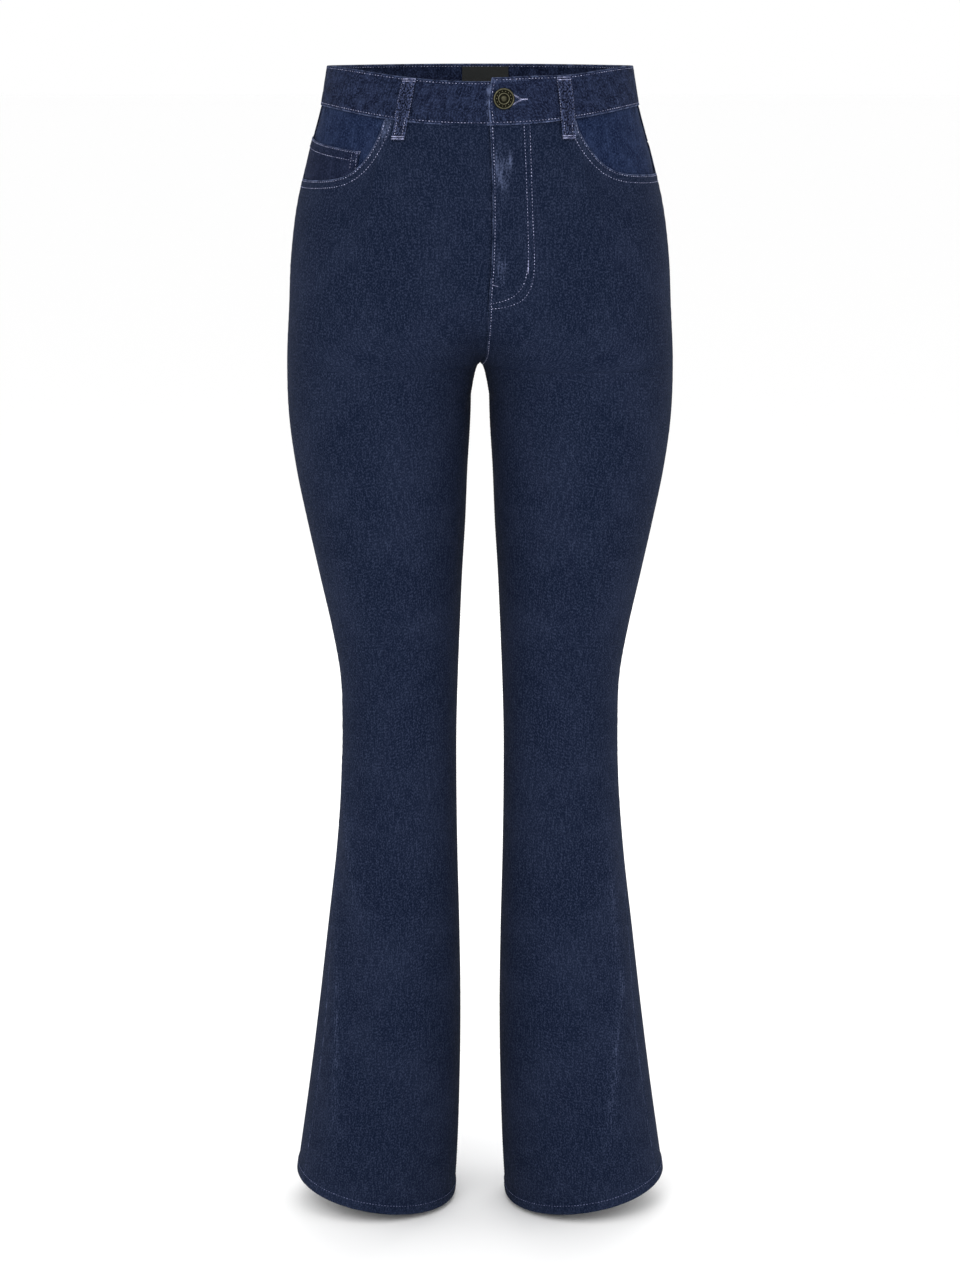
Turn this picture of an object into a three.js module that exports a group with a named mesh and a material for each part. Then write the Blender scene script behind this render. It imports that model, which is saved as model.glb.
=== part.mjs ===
// High-waisted flared jeans, filled out as when worn, hollow, and open at the waist and the hems.
// Units are millimetres. The front faces -Y, +X is the viewer's right and +Z is up.
// The origin is the middle of the waist, at half the height of the waistband at the sides.
// Left and right in the names are the wearer's: the wearer's right is at -X.
import * as THREE from 'three';

// Thickness of the cloth and of what is sewn on it
const SEAM_GAP = 0.3;
const PANEL_WALL = 1.4;
const BAND_WALL = 2.4;
const BAND_PROUD = 0.6;
const FACING_WALL = 1.2;
const POCKET_WALL = 1.2;
const LOOP_WALL = 1.8;
const LABEL_WALL = 0.8;

// Heights of the crotch, of the waist's two edges and of the yoke seam
const CROTCH_Z = -251;
const ARCH_RUN = 30;
const VALLEY_SHARE = 0.15;
const VALLEY_RUN = 60;
const WAIST_TOP = { side: 21.5, front: 8.5, back: 22.5, power: 3.2 };
const WAIST_SEAM = { side: -14.5, front: -30.5, back: -16, power: 2.5 };
const YOKE_SEAM = { side: -47, back: -80 };

// The hem's plane: its height at the middle of a leg, and its rise outwards and backwards
const HEM = { z: -1061, x: 102, y: 22, riseOut: 0.155, riseBack: 0.073, fold: 10, step: 1, proud: 0.9 };

// The fly: where the wearer's left front ends on the right one, and the outline sewn beside it
const FLY = { width: 39, end: -193, corner: 30, proud: 1.1, fade: 5 };
const FLY_EDGE = [
  { z: 30, x: 8 }, { z: -30, x: 8.7 }, { z: -60, x: 10.1 }, { z: -153, x: 10.2 }, { z: -186, x: 8.1 },
  { z: -204, x: 7.7 }, { z: -222, x: 6.4 }, { z: -243, x: 4 }, { z: CROTCH_Z, x: 0 },
];

// Sections of one half, from the waist down. out is the widest x. gap is half the space between the
// legs, and lap is how far a half would reach past the middle above the crotch. mid is the x of the
// fullest place, front and back are the y of the fullest places, side is the y of the widest place,
// and turn is how far the side seam is turned to the front, in degrees.
const SECTION_COLUMNS = ['z', 'out', 'gap', 'lap', 'mid', 'front', 'back', 'side', 'turn'];
const SECTIONS = [
  [24, 139.3, 8.2, 139.3, 0, -94, 88, 0, 0],
  [-15, 146, 8.2, 146, 0, -96, 92, 0, 0],
  [-60, 158.5, 8.2, 158.5, 0, -101, 104, 2, 0],
  [-105, 169.3, 8.2, 158, 10, -105, 115, 5, 0],
  [-150, 175.3, 8.2, 125, 30, -105, 123, 7, 0],
  [-200, 178.1, 8.2, 52, 60, -102, 126, 8, 0],
  [CROTCH_Z, 180.1, 8.2, 0, 89, -98, 112, 5, 0],
  [-300, 178.8, 8.9, 0, 93.8, -94, 98, 3, 0],
  [-350, 172.3, 11.8, 0, 92, -90, 88, 1, 0],
  [-400, 162.3, 13.9, 0, 88, -86, 80, 0, 0],
  [-450, 151.5, 16.9, 0, 84.2, -81, 73, -1, 0],
  [-500, 140.5, 19.1, 0, 79.8, -74, 68, -2, 0],
  [-545, 132.9, 20.9, 0, 76.9, -67, 64, -2, 0],
  [-600, 131.3, 22.4, 0, 76.9, -62, 62, -2, 0],
  [-650, 132.6, 22.5, 0, 77.5, -59, 62, 0, 3],
  [-720, 138.1, 21.7, 0, 79.9, -58, 66, 4, 12],
  [-800, 147.5, 19.9, 0, 83.7, -58, 74, 8, 23],
  [-880, 157, 19, 0, 88, -59, 83, 13, 29],
  [-960, 167.4, 20.1, 0, 93.8, -60, 92, 18, 28],
  [-1040, 178.8, 23, 0, 100.9, -60, 101, 22, 26],
  [-1085, 185, 25.9, 0, 105.5, -60, 106, 24, 26],
];
// Power of the sections' curve at the waist and in the legs, and the run over which it changes
const SQUARENESS = { waist: 2.2, leg: 2.05, run: 120 };

// Soft folds of the loose cloth. u0 and u1 are the places round the leg at the top and the bottom,
// from 0 at the inside seam over 0.5 at the side seam to 1. half is half the width in that measure.
// rise is outwards, or inwards where it is negative. side is -1 for the wearer's right.
const FOLD_FADE = 0.8;
const FOLDS = [
  { side: -1, u0: 0.465, u1: 0.37, z0: -620, z1: -790, half: 0.045, rise: 2 },
  { side: -1, u0: 0.49, u1: 0.395, z0: -735, z1: -1040, half: 0.04, rise: 2.4 },
  { side: -1, u0: 0.44, u1: 0.3, z0: -775, z1: -1055, half: 0.05, rise: -2.6 },
  { side: 1, u0: 0.39, u1: 0.455, z0: -670, z1: -880, half: 0.045, rise: 2.2 },
  { side: 1, u0: 0.46, u1: 0.335, z0: -820, z1: -1030, half: 0.045, rise: 2.6 },
  { side: 1, u0: 0.4, u1: 0.27, z0: -790, z1: -1055, half: 0.05, rise: -2.6 },
  { side: -1, u0: 0.66, u1: 0.7, z0: -560, z1: -800, half: 0.05, rise: -2.4 },
  { side: -1, u0: 0.76, u1: 0.72, z0: -640, z1: -1000, half: 0.06, rise: 2.6 },
  { side: 1, u0: 0.7, u1: 0.66, z0: -570, z1: -830, half: 0.05, rise: -2.6 },
  { side: 1, u0: 0.8, u1: 0.75, z0: -660, z1: -1030, half: 0.06, rise: 2.4 },
];

// Edge of the hip pocket's scoop, in places round the hip and heights, from the waist seam outwards.
// It hangs a little lower on the wearer's right.
const SCOOP = [
  { u: 0.185, z: -25.4 }, { u: 0.189, z: -36 }, { u: 0.199, z: -47 }, { u: 0.2085, z: -54.5 },
  { u: 0.222, z: -62.5 }, { u: 0.24, z: -69.3 }, { u: 0.263, z: -74 }, { u: 0.295, z: -76.7 },
  { u: 0.345, z: -78 }, { u: 0.41, z: -78.5 }, { u: 0.5, z: -78 },
];
const SCOOP_LEAN = 2.5;
const FACING = { start: 0.155, under: 12, clear: 0.7, rest: 1.7, rampUp: 24, arcPerTurn: 380, rows: 5 };
const COIN = {
  start: 0.232, end: 0.494, topInner: -54, topOuter: -42.5, lift: 0.5, hem: 10, proud: 0.4, rows: 5,
};

// Columns of the front panels at the hip, between the fly's edge and the side seam
const FRONT_COLUMNS = [0.045, 0.074, 0.088, 0.137, ...SCOOP.map((point) => point.u)];
const BACK_COLUMN_COUNT = 11;
const YOKE_ROWS = 3;
const FREE_ROWS = 4;
const BACK_EXTRA_ROWS = 2;
const EVEN_FROM = -110;
const EVEN_RUN = 150;
const SHARED_ROWS = [
  -150, -175, -195, -212, -226, -236, -243, -247.5, -250, CROTCH_Z, -252.5, -256, -262, -270, -281,
  -300, -330, -365, -405, -450, -500, -545, -600, -660, -720, -780, -840, -900, -960, -1010,
];

// Patch pockets on the seat: distances are measured round the seat from the centre back
const BACK_POCKET = {
  inner: 26, topWidth: 130, bottomWidth: 112, inwardDrift: 4, topZ: -96, topTilt: -10, depth: 122,
  point: 20, lift: 0.9, columns: 10, rows: 8,
};

// Belt loops. x0 and x1 are the x of the top and the bottom of each. A loop bows out over the
// waistband, ends bowTail below its seam and comes down to the cloth over the length of fall.
const LOOP = {
  width: 11.6, below: 17.5, above: -0.5, bow: 2.1, bowTail: 4, fall: 7, seat: 0.5, crown: 0.3, rows: 9,
};
const BELT_LOOPS = [
  { name: 'belt_loop_front_right', back: false, x0: -61.8, x1: -73.2 },
  { name: 'belt_loop_front_left', back: false, x0: 73.2, x1: 79.3 },
  { name: 'belt_loop_back_right', back: true, x0: -92, x1: -94 },
  { name: 'belt_loop_back_left', back: true, x0: 92, x1: 94 },
  { name: 'belt_loop_back_centre', back: true, x0: 0, x1: 0 },
];

// The waistband's two ends, the opening for the button's shank, and the button. The under end is
// moved in and the upper one out and up, each over a share of the way round, from overFrom and liftFrom.
const BAND = {
  underEnd: 44, underShift: -1.4, overShift: 1.3, run: 0.13, overFrom: 1.72, overLift: 3.2, liftFrom: 1.8,
  softEdge: 0.5, columns: 56, apart: 0.01,
};
const BAND_ROWS = [0, 0.05, 0.355, 0.545, 0.95, 1];
const BUTTON = { x: 21, shank: 3.3, hole: 3.8, sides: 28 };
// Radius and height of the button's outline, from the foot of the shank to the middle of the face
const BUTTON_PROFILE = [
  [0, 0], [BUTTON.shank, 0], [BUTTON.shank, 2.7], [8.9, 2.9], [9.6, 3.5], [9.6, 4.5], [9, 5.3], [7.8, 5.5],
  [7.2, 5], [5.4, 5], [4.8, 5.5], [3.4, 5.6], [3, 5.1], [0, 5.1],
];
const LABEL = { from: -17, to: 27, top: 2.5, bottom: 33, columns: 5, rows: 3 };

// Finishes, with the colours of dark rinsed denim, old brass and black tape
const DENIM = new THREE.MeshStandardMaterial({ color: 0x232b40, roughness: 0.88, metalness: 0 });
const BAND_DENIM = new THREE.MeshStandardMaterial({ color: 0x272f48, roughness: 0.88, metalness: 0 });
const FACING_DENIM = new THREE.MeshStandardMaterial({ color: 0x29324c, roughness: 0.88, metalness: 0 });
const LOOP_DENIM = new THREE.MeshStandardMaterial({ color: 0x31384f, roughness: 0.9, metalness: 0 });
const OLD_BRASS = new THREE.MeshStandardMaterial({ color: 0x6b5a3c, roughness: 0.45, metalness: 1 });
const BLACK_TAPE = new THREE.MeshStandardMaterial({ color: 0x1a1b1d, roughness: 0.8, metalness: 0 });

const jeans = new THREE.Group();

function mix(a, b, share) {
  return a + (b - a) * share;
}

function ease(share) {
  const t = Math.min(1, Math.max(0, share));
  return t * t * (3 - 2 * t);
}

// A smooth curve through values given at falling heights
function curveThrough(heights, values) {
  const last = heights.length - 1;
  const rate = (i) => (values[i + 1] - values[i]) / (heights[i + 1] - heights[i]);
  const slopes = values.map((value, i) => {
    if (i === 0) return rate(0);
    if (i === last) return rate(last - 1);
    const before = heights[i - 1] - heights[i];
    const after = heights[i] - heights[i + 1];
    return (rate(i - 1) * after + rate(i) * before) / (before + after);
  });
  return (z) => {
    let i = 0;
    while (i < last - 1 && z < heights[i + 1]) i += 1;
    const step = heights[i + 1] - heights[i];
    const t = Math.min(1, Math.max(0, (z - heights[i]) / step));
    const t2 = t * t;
    const t3 = t2 * t;
    return (2 * t3 - 3 * t2 + 1) * values[i] + (t3 - 2 * t2 + t) * step * slopes[i]
      + (3 * t2 - 2 * t3) * values[i + 1] + (t3 - t2) * step * slopes[i + 1];
  };
}

const sectionHeights = SECTIONS.map((row) => row[0]);
const sectionCurves = SECTION_COLUMNS.map((column, i) => (
  curveThrough(sectionHeights, SECTIONS.map((row) => row[i]))
));
const flyEdgeAt = curveThrough(FLY_EDGE.map((row) => row.z), FLY_EDGE.map((row) => row.x));

// The section at a height, with the half widths on its two sides and where it is cut at the middle
function sectionAt(z) {
  const section = {};
  SECTION_COLUMNS.forEach((column, i) => {
    section[column] = sectionCurves[i](z);
  });
  const below = z < CROTCH_Z;
  const arch = Math.sqrt(Math.min(1, Math.max(0, CROTCH_Z - z) / ARCH_RUN));
  const inn = below ? section.gap * arch : -Math.max(0, section.lap);
  const mid = Math.max(0, section.mid);
  const soft = below ? 0 : VALLEY_SHARE * mid * ease((z - CROTCH_Z) / VALLEY_RUN);
  const power = mix(SQUARENESS.waist, SQUARENESS.leg, ease(0.5 + (CROTCH_Z - z) / SQUARENESS.run));
  const reach = below ? 1 : Math.min(1, (mid - soft) / (mid - inn));
  return {
    ...section, mid, soft, power, innHalf: mid - inn, outHalf: section.out - mid,
    frontHalf: section.side - section.front, backHalf: section.back - section.side,
    cut: Math.asin(reach ** (power / 2)), seam: Math.PI / 2 - (section.turn * Math.PI) / 180,
  };
}

// A place on the garment: side is -1 or 1, and u runs round that half from the front middle or the
// inside seam, at 0, over the side seam, at 0.5, to the back middle or the inside seam, at 1.
function placeOn(side, u, z) {
  if (u < 0) return placeOn(-side, -u, z);
  const section = sectionAt(z);
  const angle = u < 0.5
    ? mix(-section.cut, section.seam, u / 0.5)
    : mix(section.seam, Math.PI + section.cut, (u - 0.5) / 0.5);
  const across = Math.sin(angle);
  const along = Math.cos(angle);
  const half = across < 0 ? section.innHalf : section.outHalf;
  const depth = along > 0 ? section.frontHalf : section.backHalf;
  const x = section.mid + half * Math.sign(across) * Math.abs(across) ** (2 / section.power);
  const y = section.side - depth * Math.sign(along) * Math.abs(along) ** (2 / section.power);
  return new THREE.Vector3(side * Math.sqrt(Math.max(0, x * x - section.soft ** 2)), y, z);
}

// How far a point lies from the axis of its section, 1 on the cloth
function fullness(x, y, z) {
  const section = sectionAt(z);
  const reach = Math.hypot(x, section.soft) - section.mid;
  const across = reach / (reach < 0 ? section.innHalf : section.outHalf);
  const deep = y - section.side;
  const along = deep / (deep < 0 ? section.frontHalf : section.backHalf);
  return Math.abs(across) ** section.power + Math.abs(along) ** section.power;
}

function outwardAt(point) {
  const step = 0.4;
  const { x, y, z } = point;
  return new THREE.Vector3(
    fullness(x + step, y, z) - fullness(x - step, y, z),
    fullness(x, y + step, z) - fullness(x, y - step, z),
    fullness(x, y, z + step) - fullness(x, y, z - step),
  ).normalize();
}

// The height of the cloth's soft folds at a place
function foldAt(side, u, z) {
  let height = 0;
  for (const fold of FOLDS) {
    if (fold.side === side && z < fold.z0 && z > fold.z1) {
      const down = (fold.z0 - z) / (fold.z0 - fold.z1);
      const away = (u - mix(fold.u0, fold.u1, down)) / fold.half;
      height += fold.rise * Math.exp(-away * away) * Math.sin(Math.PI * down) ** FOLD_FADE;
    }
  }
  return height;
}

// The outer and the inner point of a wall at a place. top and under are measured from the cloth's
// own outer face, outwards.
function wallAt(side, u, z, top, under) {
  const base = placeOn(side, u, z);
  const outward = outwardAt(base);
  const fold = foldAt(side, u, z);
  return [
    base.clone().addScaledVector(outward, fold + top),
    base.clone().addScaledVector(outward, fold + under),
  ];
}

// The place u of an x at a height, on the front or on the back
function uAtX(x, z, back = false) {
  const section = sectionAt(z);
  const reach = Math.hypot(x, section.soft) - section.mid;
  const share = Math.min(1, Math.abs(reach) / (reach < 0 ? section.innHalf : section.outHalf));
  const angle = Math.sign(reach) * Math.asin(share ** (section.power / 2));
  return back
    ? 1 - (0.5 * (angle + section.cut)) / (Math.PI - section.seam + section.cut)
    : (0.5 * (angle + section.cut)) / (section.seam + section.cut);
}

// The place u at a distance round the seat from the centre back
function uAtDistance(distance, z) {
  const step = 1 / 400;
  let u = 1;
  let before = placeOn(1, u, z);
  let gone = 0;
  let stride = 0;
  while (gone < distance) {
    u -= step;
    const point = placeOn(1, u, z);
    stride = point.distanceTo(before);
    gone += stride;
    before = point;
  }
  return u + (step * (gone - distance)) / stride;
}

// Heights of the waist's edges and of the yoke seam round a half
function waistLine(line, u) {
  const turn = Math.abs(Math.cos(Math.PI * u)) ** line.power;
  return mix(line.side, u < 0.5 ? line.front : line.back, turn);
}

function yokeLine(u) {
  return mix(YOKE_SEAM.side, YOKE_SEAM.back, (u - 0.5) / 0.5);
}

function scoopLine(side, u) {
  const next = SCOOP.findIndex((point) => point.u >= u);
  if (next <= 0) return SCOOP[0].z;
  const from = SCOOP[next - 1];
  const to = SCOOP[next];
  const z = mix(from.z, to.z, (u - from.u) / (to.u - from.u));
  return z + side * SCOOP_LEAN * ease((SCOOP[0].z - z) / (SCOOP[0].z - SCOOP[4].z));
}

// The hem's plane cuts the leg, so its height at a place is found in a few rounds
function hemLine(side, u) {
  const rounds = 3;
  let z = HEM.z;
  for (let i = 0; i < rounds; i += 1) {
    const point = placeOn(side, u, z);
    z = HEM.z + HEM.riseOut * (Math.abs(point.x) - HEM.x) + HEM.riseBack * (point.y - HEM.y);
  }
  return z;
}

// The grid of a wall's points is drawn in by half a seam's gap at each of its edges
function drawnIn(grid) {
  const columns = grid.length;
  const rows = grid[0].length;
  const moved = grid.map((column) => column.map((pair) => pair.map((point) => point.clone())));
  const draw = (i, j, toI, toJ) => {
    grid[i][j].forEach((point, layer) => {
      const inwards = grid[toI][toJ][layer].clone().sub(point).normalize();
      moved[i][j][layer].addScaledVector(inwards, SEAM_GAP / 2);
    });
  };
  for (let j = 0; j < rows; j += 1) {
    draw(0, j, 1, j);
    draw(columns - 1, j, columns - 2, j);
  }
  for (let i = 0; i < columns; i += 1) {
    draw(i, 0, i, 1);
    draw(i, rows - 1, i, rows - 2);
  }
  return moved;
}

// A closed wall from a grid of outer and inner points. Cells for which isOpen holds are left out.
function addWall(name, grid, material, isOpen = () => false) {
  const columns = grid.length - 1;
  const rows = grid[0].length - 1;
  const positions = [];
  const indices = [];
  const numbers = new Map();
  const number = (i, j, layer) => {
    const key = `${i},${j},${layer}`;
    if (!numbers.has(key)) {
      numbers.set(key, positions.length / 3);
      positions.push(...grid[i][j][layer].toArray());
    }
    return numbers.get(key);
  };
  const middle = [Math.floor(columns / 2), Math.floor(rows / 2)];
  const [outer, inner] = grid[middle[0]][middle[1]];
  const across = grid[middle[0] + 1][middle[1]][0].clone().sub(outer);
  const down = grid[middle[0]][middle[1] + 1][0].clone().sub(outer);
  const acrossFirst = across.cross(down).dot(outer.clone().sub(inner)) > 0;
  const filled = (i, j) => i >= 0 && j >= 0 && i < columns && j < rows && !isOpen(i, j);
  const quad = (a, b, c, d) => {
    const corner = (index) => new THREE.Vector3().fromArray(positions, index * 3);
    if (corner(a).distanceTo(corner(c)) <= corner(b).distanceTo(corner(d))) {
      indices.push(a, b, c, a, c, d);
    } else {
      indices.push(a, b, d, b, c, d);
    }
  };
  for (let i = 0; i < columns; i += 1) {
    for (let j = 0; j < rows; j += 1) {
      if (filled(i, j)) {
        const around = acrossFirst
          ? [[0, 0, 0, -1], [1, 0, 1, 0], [1, 1, 0, 1], [0, 1, -1, 0]]
          : [[0, 0, -1, 0], [0, 1, 0, 1], [1, 1, 1, 0], [1, 0, 0, -1]];
        const tops = around.map(([di, dj]) => number(i + di, j + dj, 0));
        const unders = around.map(([di, dj]) => number(i + di, j + dj, 1));
        quad(...tops);
        quad(...unders.toReversed());
        around.forEach(([, , ni, nj], k) => {
          const next = (k + 1) % 4;
          if (!filled(i + ni, j + nj)) quad(tops[next], tops[k], unders[k], unders[next]);
        });
      }
    }
  }
  const geometry = new THREE.BufferGeometry();
  geometry.setAttribute('position', new THREE.Float32BufferAttribute(positions, 3));
  geometry.setIndex(indices);
  geometry.computeVertexNormals();
  const mesh = new THREE.Mesh(geometry, material);
  mesh.name = name;
  jeans.add(mesh);
}

// A grid of count + 1 places along each way
function gridOf(columns, rows, at) {
  const column = (i) => Array.from({ length: rows + 1 }, (_, j) => at(i, j));
  return Array.from({ length: columns + 1 }, (_, i) => column(i));
}

// Heights of a leg panel's rows: free rows down to the first shared one, the shared rows, and the hem
function panelHeights(top, freeRows, side, u) {
  const first = SHARED_ROWS[0];
  const free = Array.from({ length: freeRows }, (_, j) => mix(top, first, j / freeRows));
  const hem = hemLine(side, u);
  return [...free, ...SHARED_ROWS, hem + HEM.fold + HEM.step, hem + HEM.fold, hem];
}

// How far the doubled cloth of the hem stands out
function hemRise(side, u, z) {
  return z <= hemLine(side, u) + HEM.fold + HEM.step / 2 ? HEM.proud : 0;
}

// How far the fly of the wearer's left front stands out, with its rounded lower corner
function flyRise(x, z) {
  const across = x - flyEdgeAt(z);
  const drop = Math.max(0, FLY.end + FLY.corner - z) / FLY.corner;
  const width = FLY.width * Math.sqrt(Math.max(0, 1 - drop * drop));
  return FLY.proud * ease((width - across) / FLY.fade + 0.5);
}

function frontPanel(name, side) {
  const count = FRONT_COLUMNS.length;
  const overlap = -side;
  const columnAt = (i, z) => {
    if (i === 0) return z <= CROTCH_Z ? 0 : -overlap * uAtX(flyEdgeAt(z), z);
    return mix(FRONT_COLUMNS[i - 1], (0.5 * i) / count, ease((EVEN_FROM - z) / EVEN_RUN));
  };
  const grid = gridOf(count, FREE_ROWS + SHARED_ROWS.length + 2, (i, j) => {
    const place = i === 0 ? 0 : FRONT_COLUMNS[i - 1];
    const top = place < SCOOP[0].u ? waistLine(WAIST_SEAM, place) : scoopLine(side, place);
    const z = panelHeights(top, FREE_ROWS, side, (0.5 * i) / count)[j];
    const u = columnAt(i, z);
    const x = placeOn(side, u, z).x;
    const fly = side > 0 && z > FLY.end - FLY.fade ? flyRise(x, z) : 0;
    const rise = Math.max(fly, hemRise(side, u, z));
    return wallAt(side, u, z, rise, -PANEL_WALL);
  });
  addWall(name, drawnIn(grid), DENIM);
}

// The back panel's free rows meet the front panel's at the side seam, below the scoop's end
function backHeights(side, u) {
  const seamTop = scoopLine(side, 0.5);
  const share = (u - 0.5) / 0.5;
  const top = yokeLine(u);
  const first = SHARED_ROWS[0];
  const join = mix(seamTop, mix(top, first, BACK_EXTRA_ROWS / (BACK_EXTRA_ROWS + FREE_ROWS)), share);
  const extra = Array.from({ length: BACK_EXTRA_ROWS }, (_, j) => mix(top, join, j / BACK_EXTRA_ROWS));
  return [...extra, ...panelHeights(join, FREE_ROWS, side, u)];
}

function backPanel(name, side) {
  const rows = BACK_EXTRA_ROWS + FREE_ROWS + SHARED_ROWS.length + 2;
  const grid = gridOf(BACK_COLUMN_COUNT, rows, (i, j) => {
    const u = mix(0.5, 1, i / BACK_COLUMN_COUNT);
    const z = backHeights(side, u)[j];
    return wallAt(side, u, z, hemRise(side, u, z), -PANEL_WALL);
  });
  addWall(name, drawnIn(grid), DENIM);
}

function yoke(name, side) {
  const grid = gridOf(BACK_COLUMN_COUNT, YOKE_ROWS, (i, j) => {
    const u = mix(0.5, 1, i / BACK_COLUMN_COUNT);
    const z = mix(waistLine(WAIST_SEAM, u), yokeLine(u), j / YOKE_ROWS);
    return wallAt(side, u, z, 0, -PANEL_WALL);
  });
  addWall(name, drawnIn(grid), DENIM);
}

// The facing dips under the front panel at the scoop and comes up to the cloth's face away from it.
// It reaches further down under the scoop's steep inner end.
function facingDip(side, u, z) {
  const above = (z - scoopLine(side, u)) / FACING.rampUp;
  const beside = ((u - SCOOP[0].u) * FACING.arcPerTurn) / FACING.rampUp;
  return -mix(PANEL_WALL + FACING.clear, FACING.rest, ease(above) * ease(beside));
}

function facing(name, side) {
  const columns = [FACING.start, ...SCOOP.map((point) => point.u)];
  const steep = 3;
  const grid = gridOf(columns.length - 1, FACING.rows, (i, j) => {
    const u = columns[i];
    const under = i < steep ? 2 * FACING.under : FACING.under;
    const bottom = i === 0 ? SCOOP[2].z : scoopLine(side, u) - under;
    const z = mix(waistLine(WAIST_SEAM, u), bottom, j / FACING.rows);
    const dip = facingDip(side, u, z);
    return wallAt(side, u, z, dip, dip - FACING_WALL);
  });
  addWall(name, drawnIn(grid), FACING_DENIM);
}

// The coin pocket lies on the facing of the wearer's right side and ends at the scoop's edge
function coinPocket() {
  const between = SCOOP.map((point) => point.u).filter((u) => u > COIN.start && u < COIN.end);
  const columns = [COIN.start, ...between, COIN.end];
  const grid = gridOf(columns.length - 1, COIN.rows, (i, j) => {
    const u = columns[i];
    const top = mix(COIN.topInner, COIN.topOuter, (u - COIN.start) / (COIN.end - COIN.start));
    const heights = [top, top - COIN.hem, top - COIN.hem - HEM.step];
    const low = scoopLine(-1, u) + SEAM_GAP;
    const z = j < 3 ? heights[j] : mix(heights[2], low, (j - 2) / (COIN.rows - 2));
    const under = facingDip(-1, u, z) + COIN.lift;
    const hem = j < 2 ? COIN.proud : 0;
    return wallAt(-1, u, z, under + POCKET_WALL + hem, under);
  });
  addWall('coin_pocket', drawnIn(grid), FACING_DENIM);
}

function backPocket(name, side) {
  const { columns, rows } = BACK_POCKET;
  const grid = gridOf(columns, rows, (i, j) => {
    const across = i / columns;
    const down = j / rows;
    const width = mix(BACK_POCKET.topWidth, BACK_POCKET.bottomWidth, down);
    const middle = BACK_POCKET.inner + BACK_POCKET.topWidth / 2 - BACK_POCKET.inwardDrift * down;
    const top = BACK_POCKET.topZ - BACK_POCKET.topTilt * across;
    const point = BACK_POCKET.point * (1 - Math.abs(2 * across - 1));
    const bottom = BACK_POCKET.topZ - BACK_POCKET.topTilt / 2 - BACK_POCKET.depth - point;
    const z = mix(top, bottom, down);
    const u = uAtDistance(middle + width * (across - 0.5), z);
    return wallAt(side, u, z, BACK_POCKET.lift + POCKET_WALL, BACK_POCKET.lift);
  });
  addWall(name, grid, DENIM);
}

// A belt loop runs from the top of the waistband to below its seam and bows out between its ends
function beltLoop({ name, back, x0, x1 }) {
  const side = x0 < 0 ? -1 : 1;
  const seamU = uAtX(x1, WAIST_SEAM.side, back);
  const top = waistLine(WAIST_TOP, uAtX(x0, WAIST_TOP.side, back)) + LOOP.above;
  const seam = waistLine(WAIST_SEAM, seamU);
  const bottom = seam - LOOP.below;
  const seat = BAND_PROUD + SEAM_GAP + bandShift(side < 0 ? seamU : 2 - seamU);
  const overBand = (z) => {
    const ends = Math.sin((Math.PI * (top - z)) / (top - seam + LOOP.bowTail));
    return seat + LOOP.bow * Math.max(0, ends);
  };
  const grid = gridOf(2, LOOP.rows, (i, j) => {
    const z = mix(top, bottom, j / LOOP.rows);
    const x = mix(x0, x1, j / LOOP.rows) + LOOP.width * (i / 2 - 0.5);
    const lift = z > seam ? overBand(z) : mix(overBand(seam), LOOP.seat, ease((seam - z) / LOOP.fall));
    const u = uAtX(Math.abs(x), z, back);
    const crown = i === 1 ? LOOP.crown : 0;
    const where = x * side < 0 ? -side : side;
    return wallAt(where, u, z, lift + LOOP_WALL + crown, lift);
  });
  addWall(name, grid, LOOP_DENIM);
}

// A place on the waistband: t runs from the front middle over the wearer's right side and the back
// to the front again, 1 at the centre back. It is below 0 under the wearer's left end.
function bandPlace(t) {
  if (t < 0) return { side: 1, u: -t };
  return t <= 1 ? { side: -1, u: t } : { side: 1, u: 2 - t };
}

// How far the waistband is moved in or out near its two ends
function bandShift(t) {
  const under = BAND.underShift * (1 - ease(t / BAND.run));
  const over = BAND.overShift * ease((t - BAND.overFrom) / BAND.run);
  return under + over;
}

function waistband() {
  const mean = (WAIST_TOP.side + WAIST_SEAM.side) / 2;
  const from = -uAtX(BAND.underEnd, mean);
  const to = 2 - uAtX(flyEdgeAt(mean), mean);
  const even = Array.from({ length: BAND.columns + 1 }, (_, i) => mix(from, to, i / BAND.columns));
  const holeEdges = [BUTTON.x + BUTTON.hole, BUTTON.x - BUTTON.hole];
  const hole = holeEdges.map((x) => 2 - uAtX(x, WAIST_SEAM.side / 2));
  const apart = even.filter((t) => hole.every((edge) => Math.abs(edge - t) > BAND.apart));
  const stations = [...apart, ...hole].sort((a, b) => a - b);
  const grid = stations.map((t) => BAND_ROWS.map((share) => {
    const { side, u } = bandPlace(t);
    const lift = BAND.overLift * ease((t - BAND.liftFrom) / BAND.run);
    const z = mix(waistLine(WAIST_TOP, u) + lift, waistLine(WAIST_SEAM, u), share);
    const edge = share === 0 || share === 1 ? BAND.softEdge : 0;
    const shift = bandShift(t);
    return wallAt(side, u, z, shift + BAND_PROUD - edge, shift + BAND_PROUD - BAND_WALL);
  }));
  const holeColumn = stations.indexOf(hole[0]);
  addWall('waistband', drawnIn(grid), BAND_DENIM, (i, j) => i === holeColumn && j === 2);
}

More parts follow.
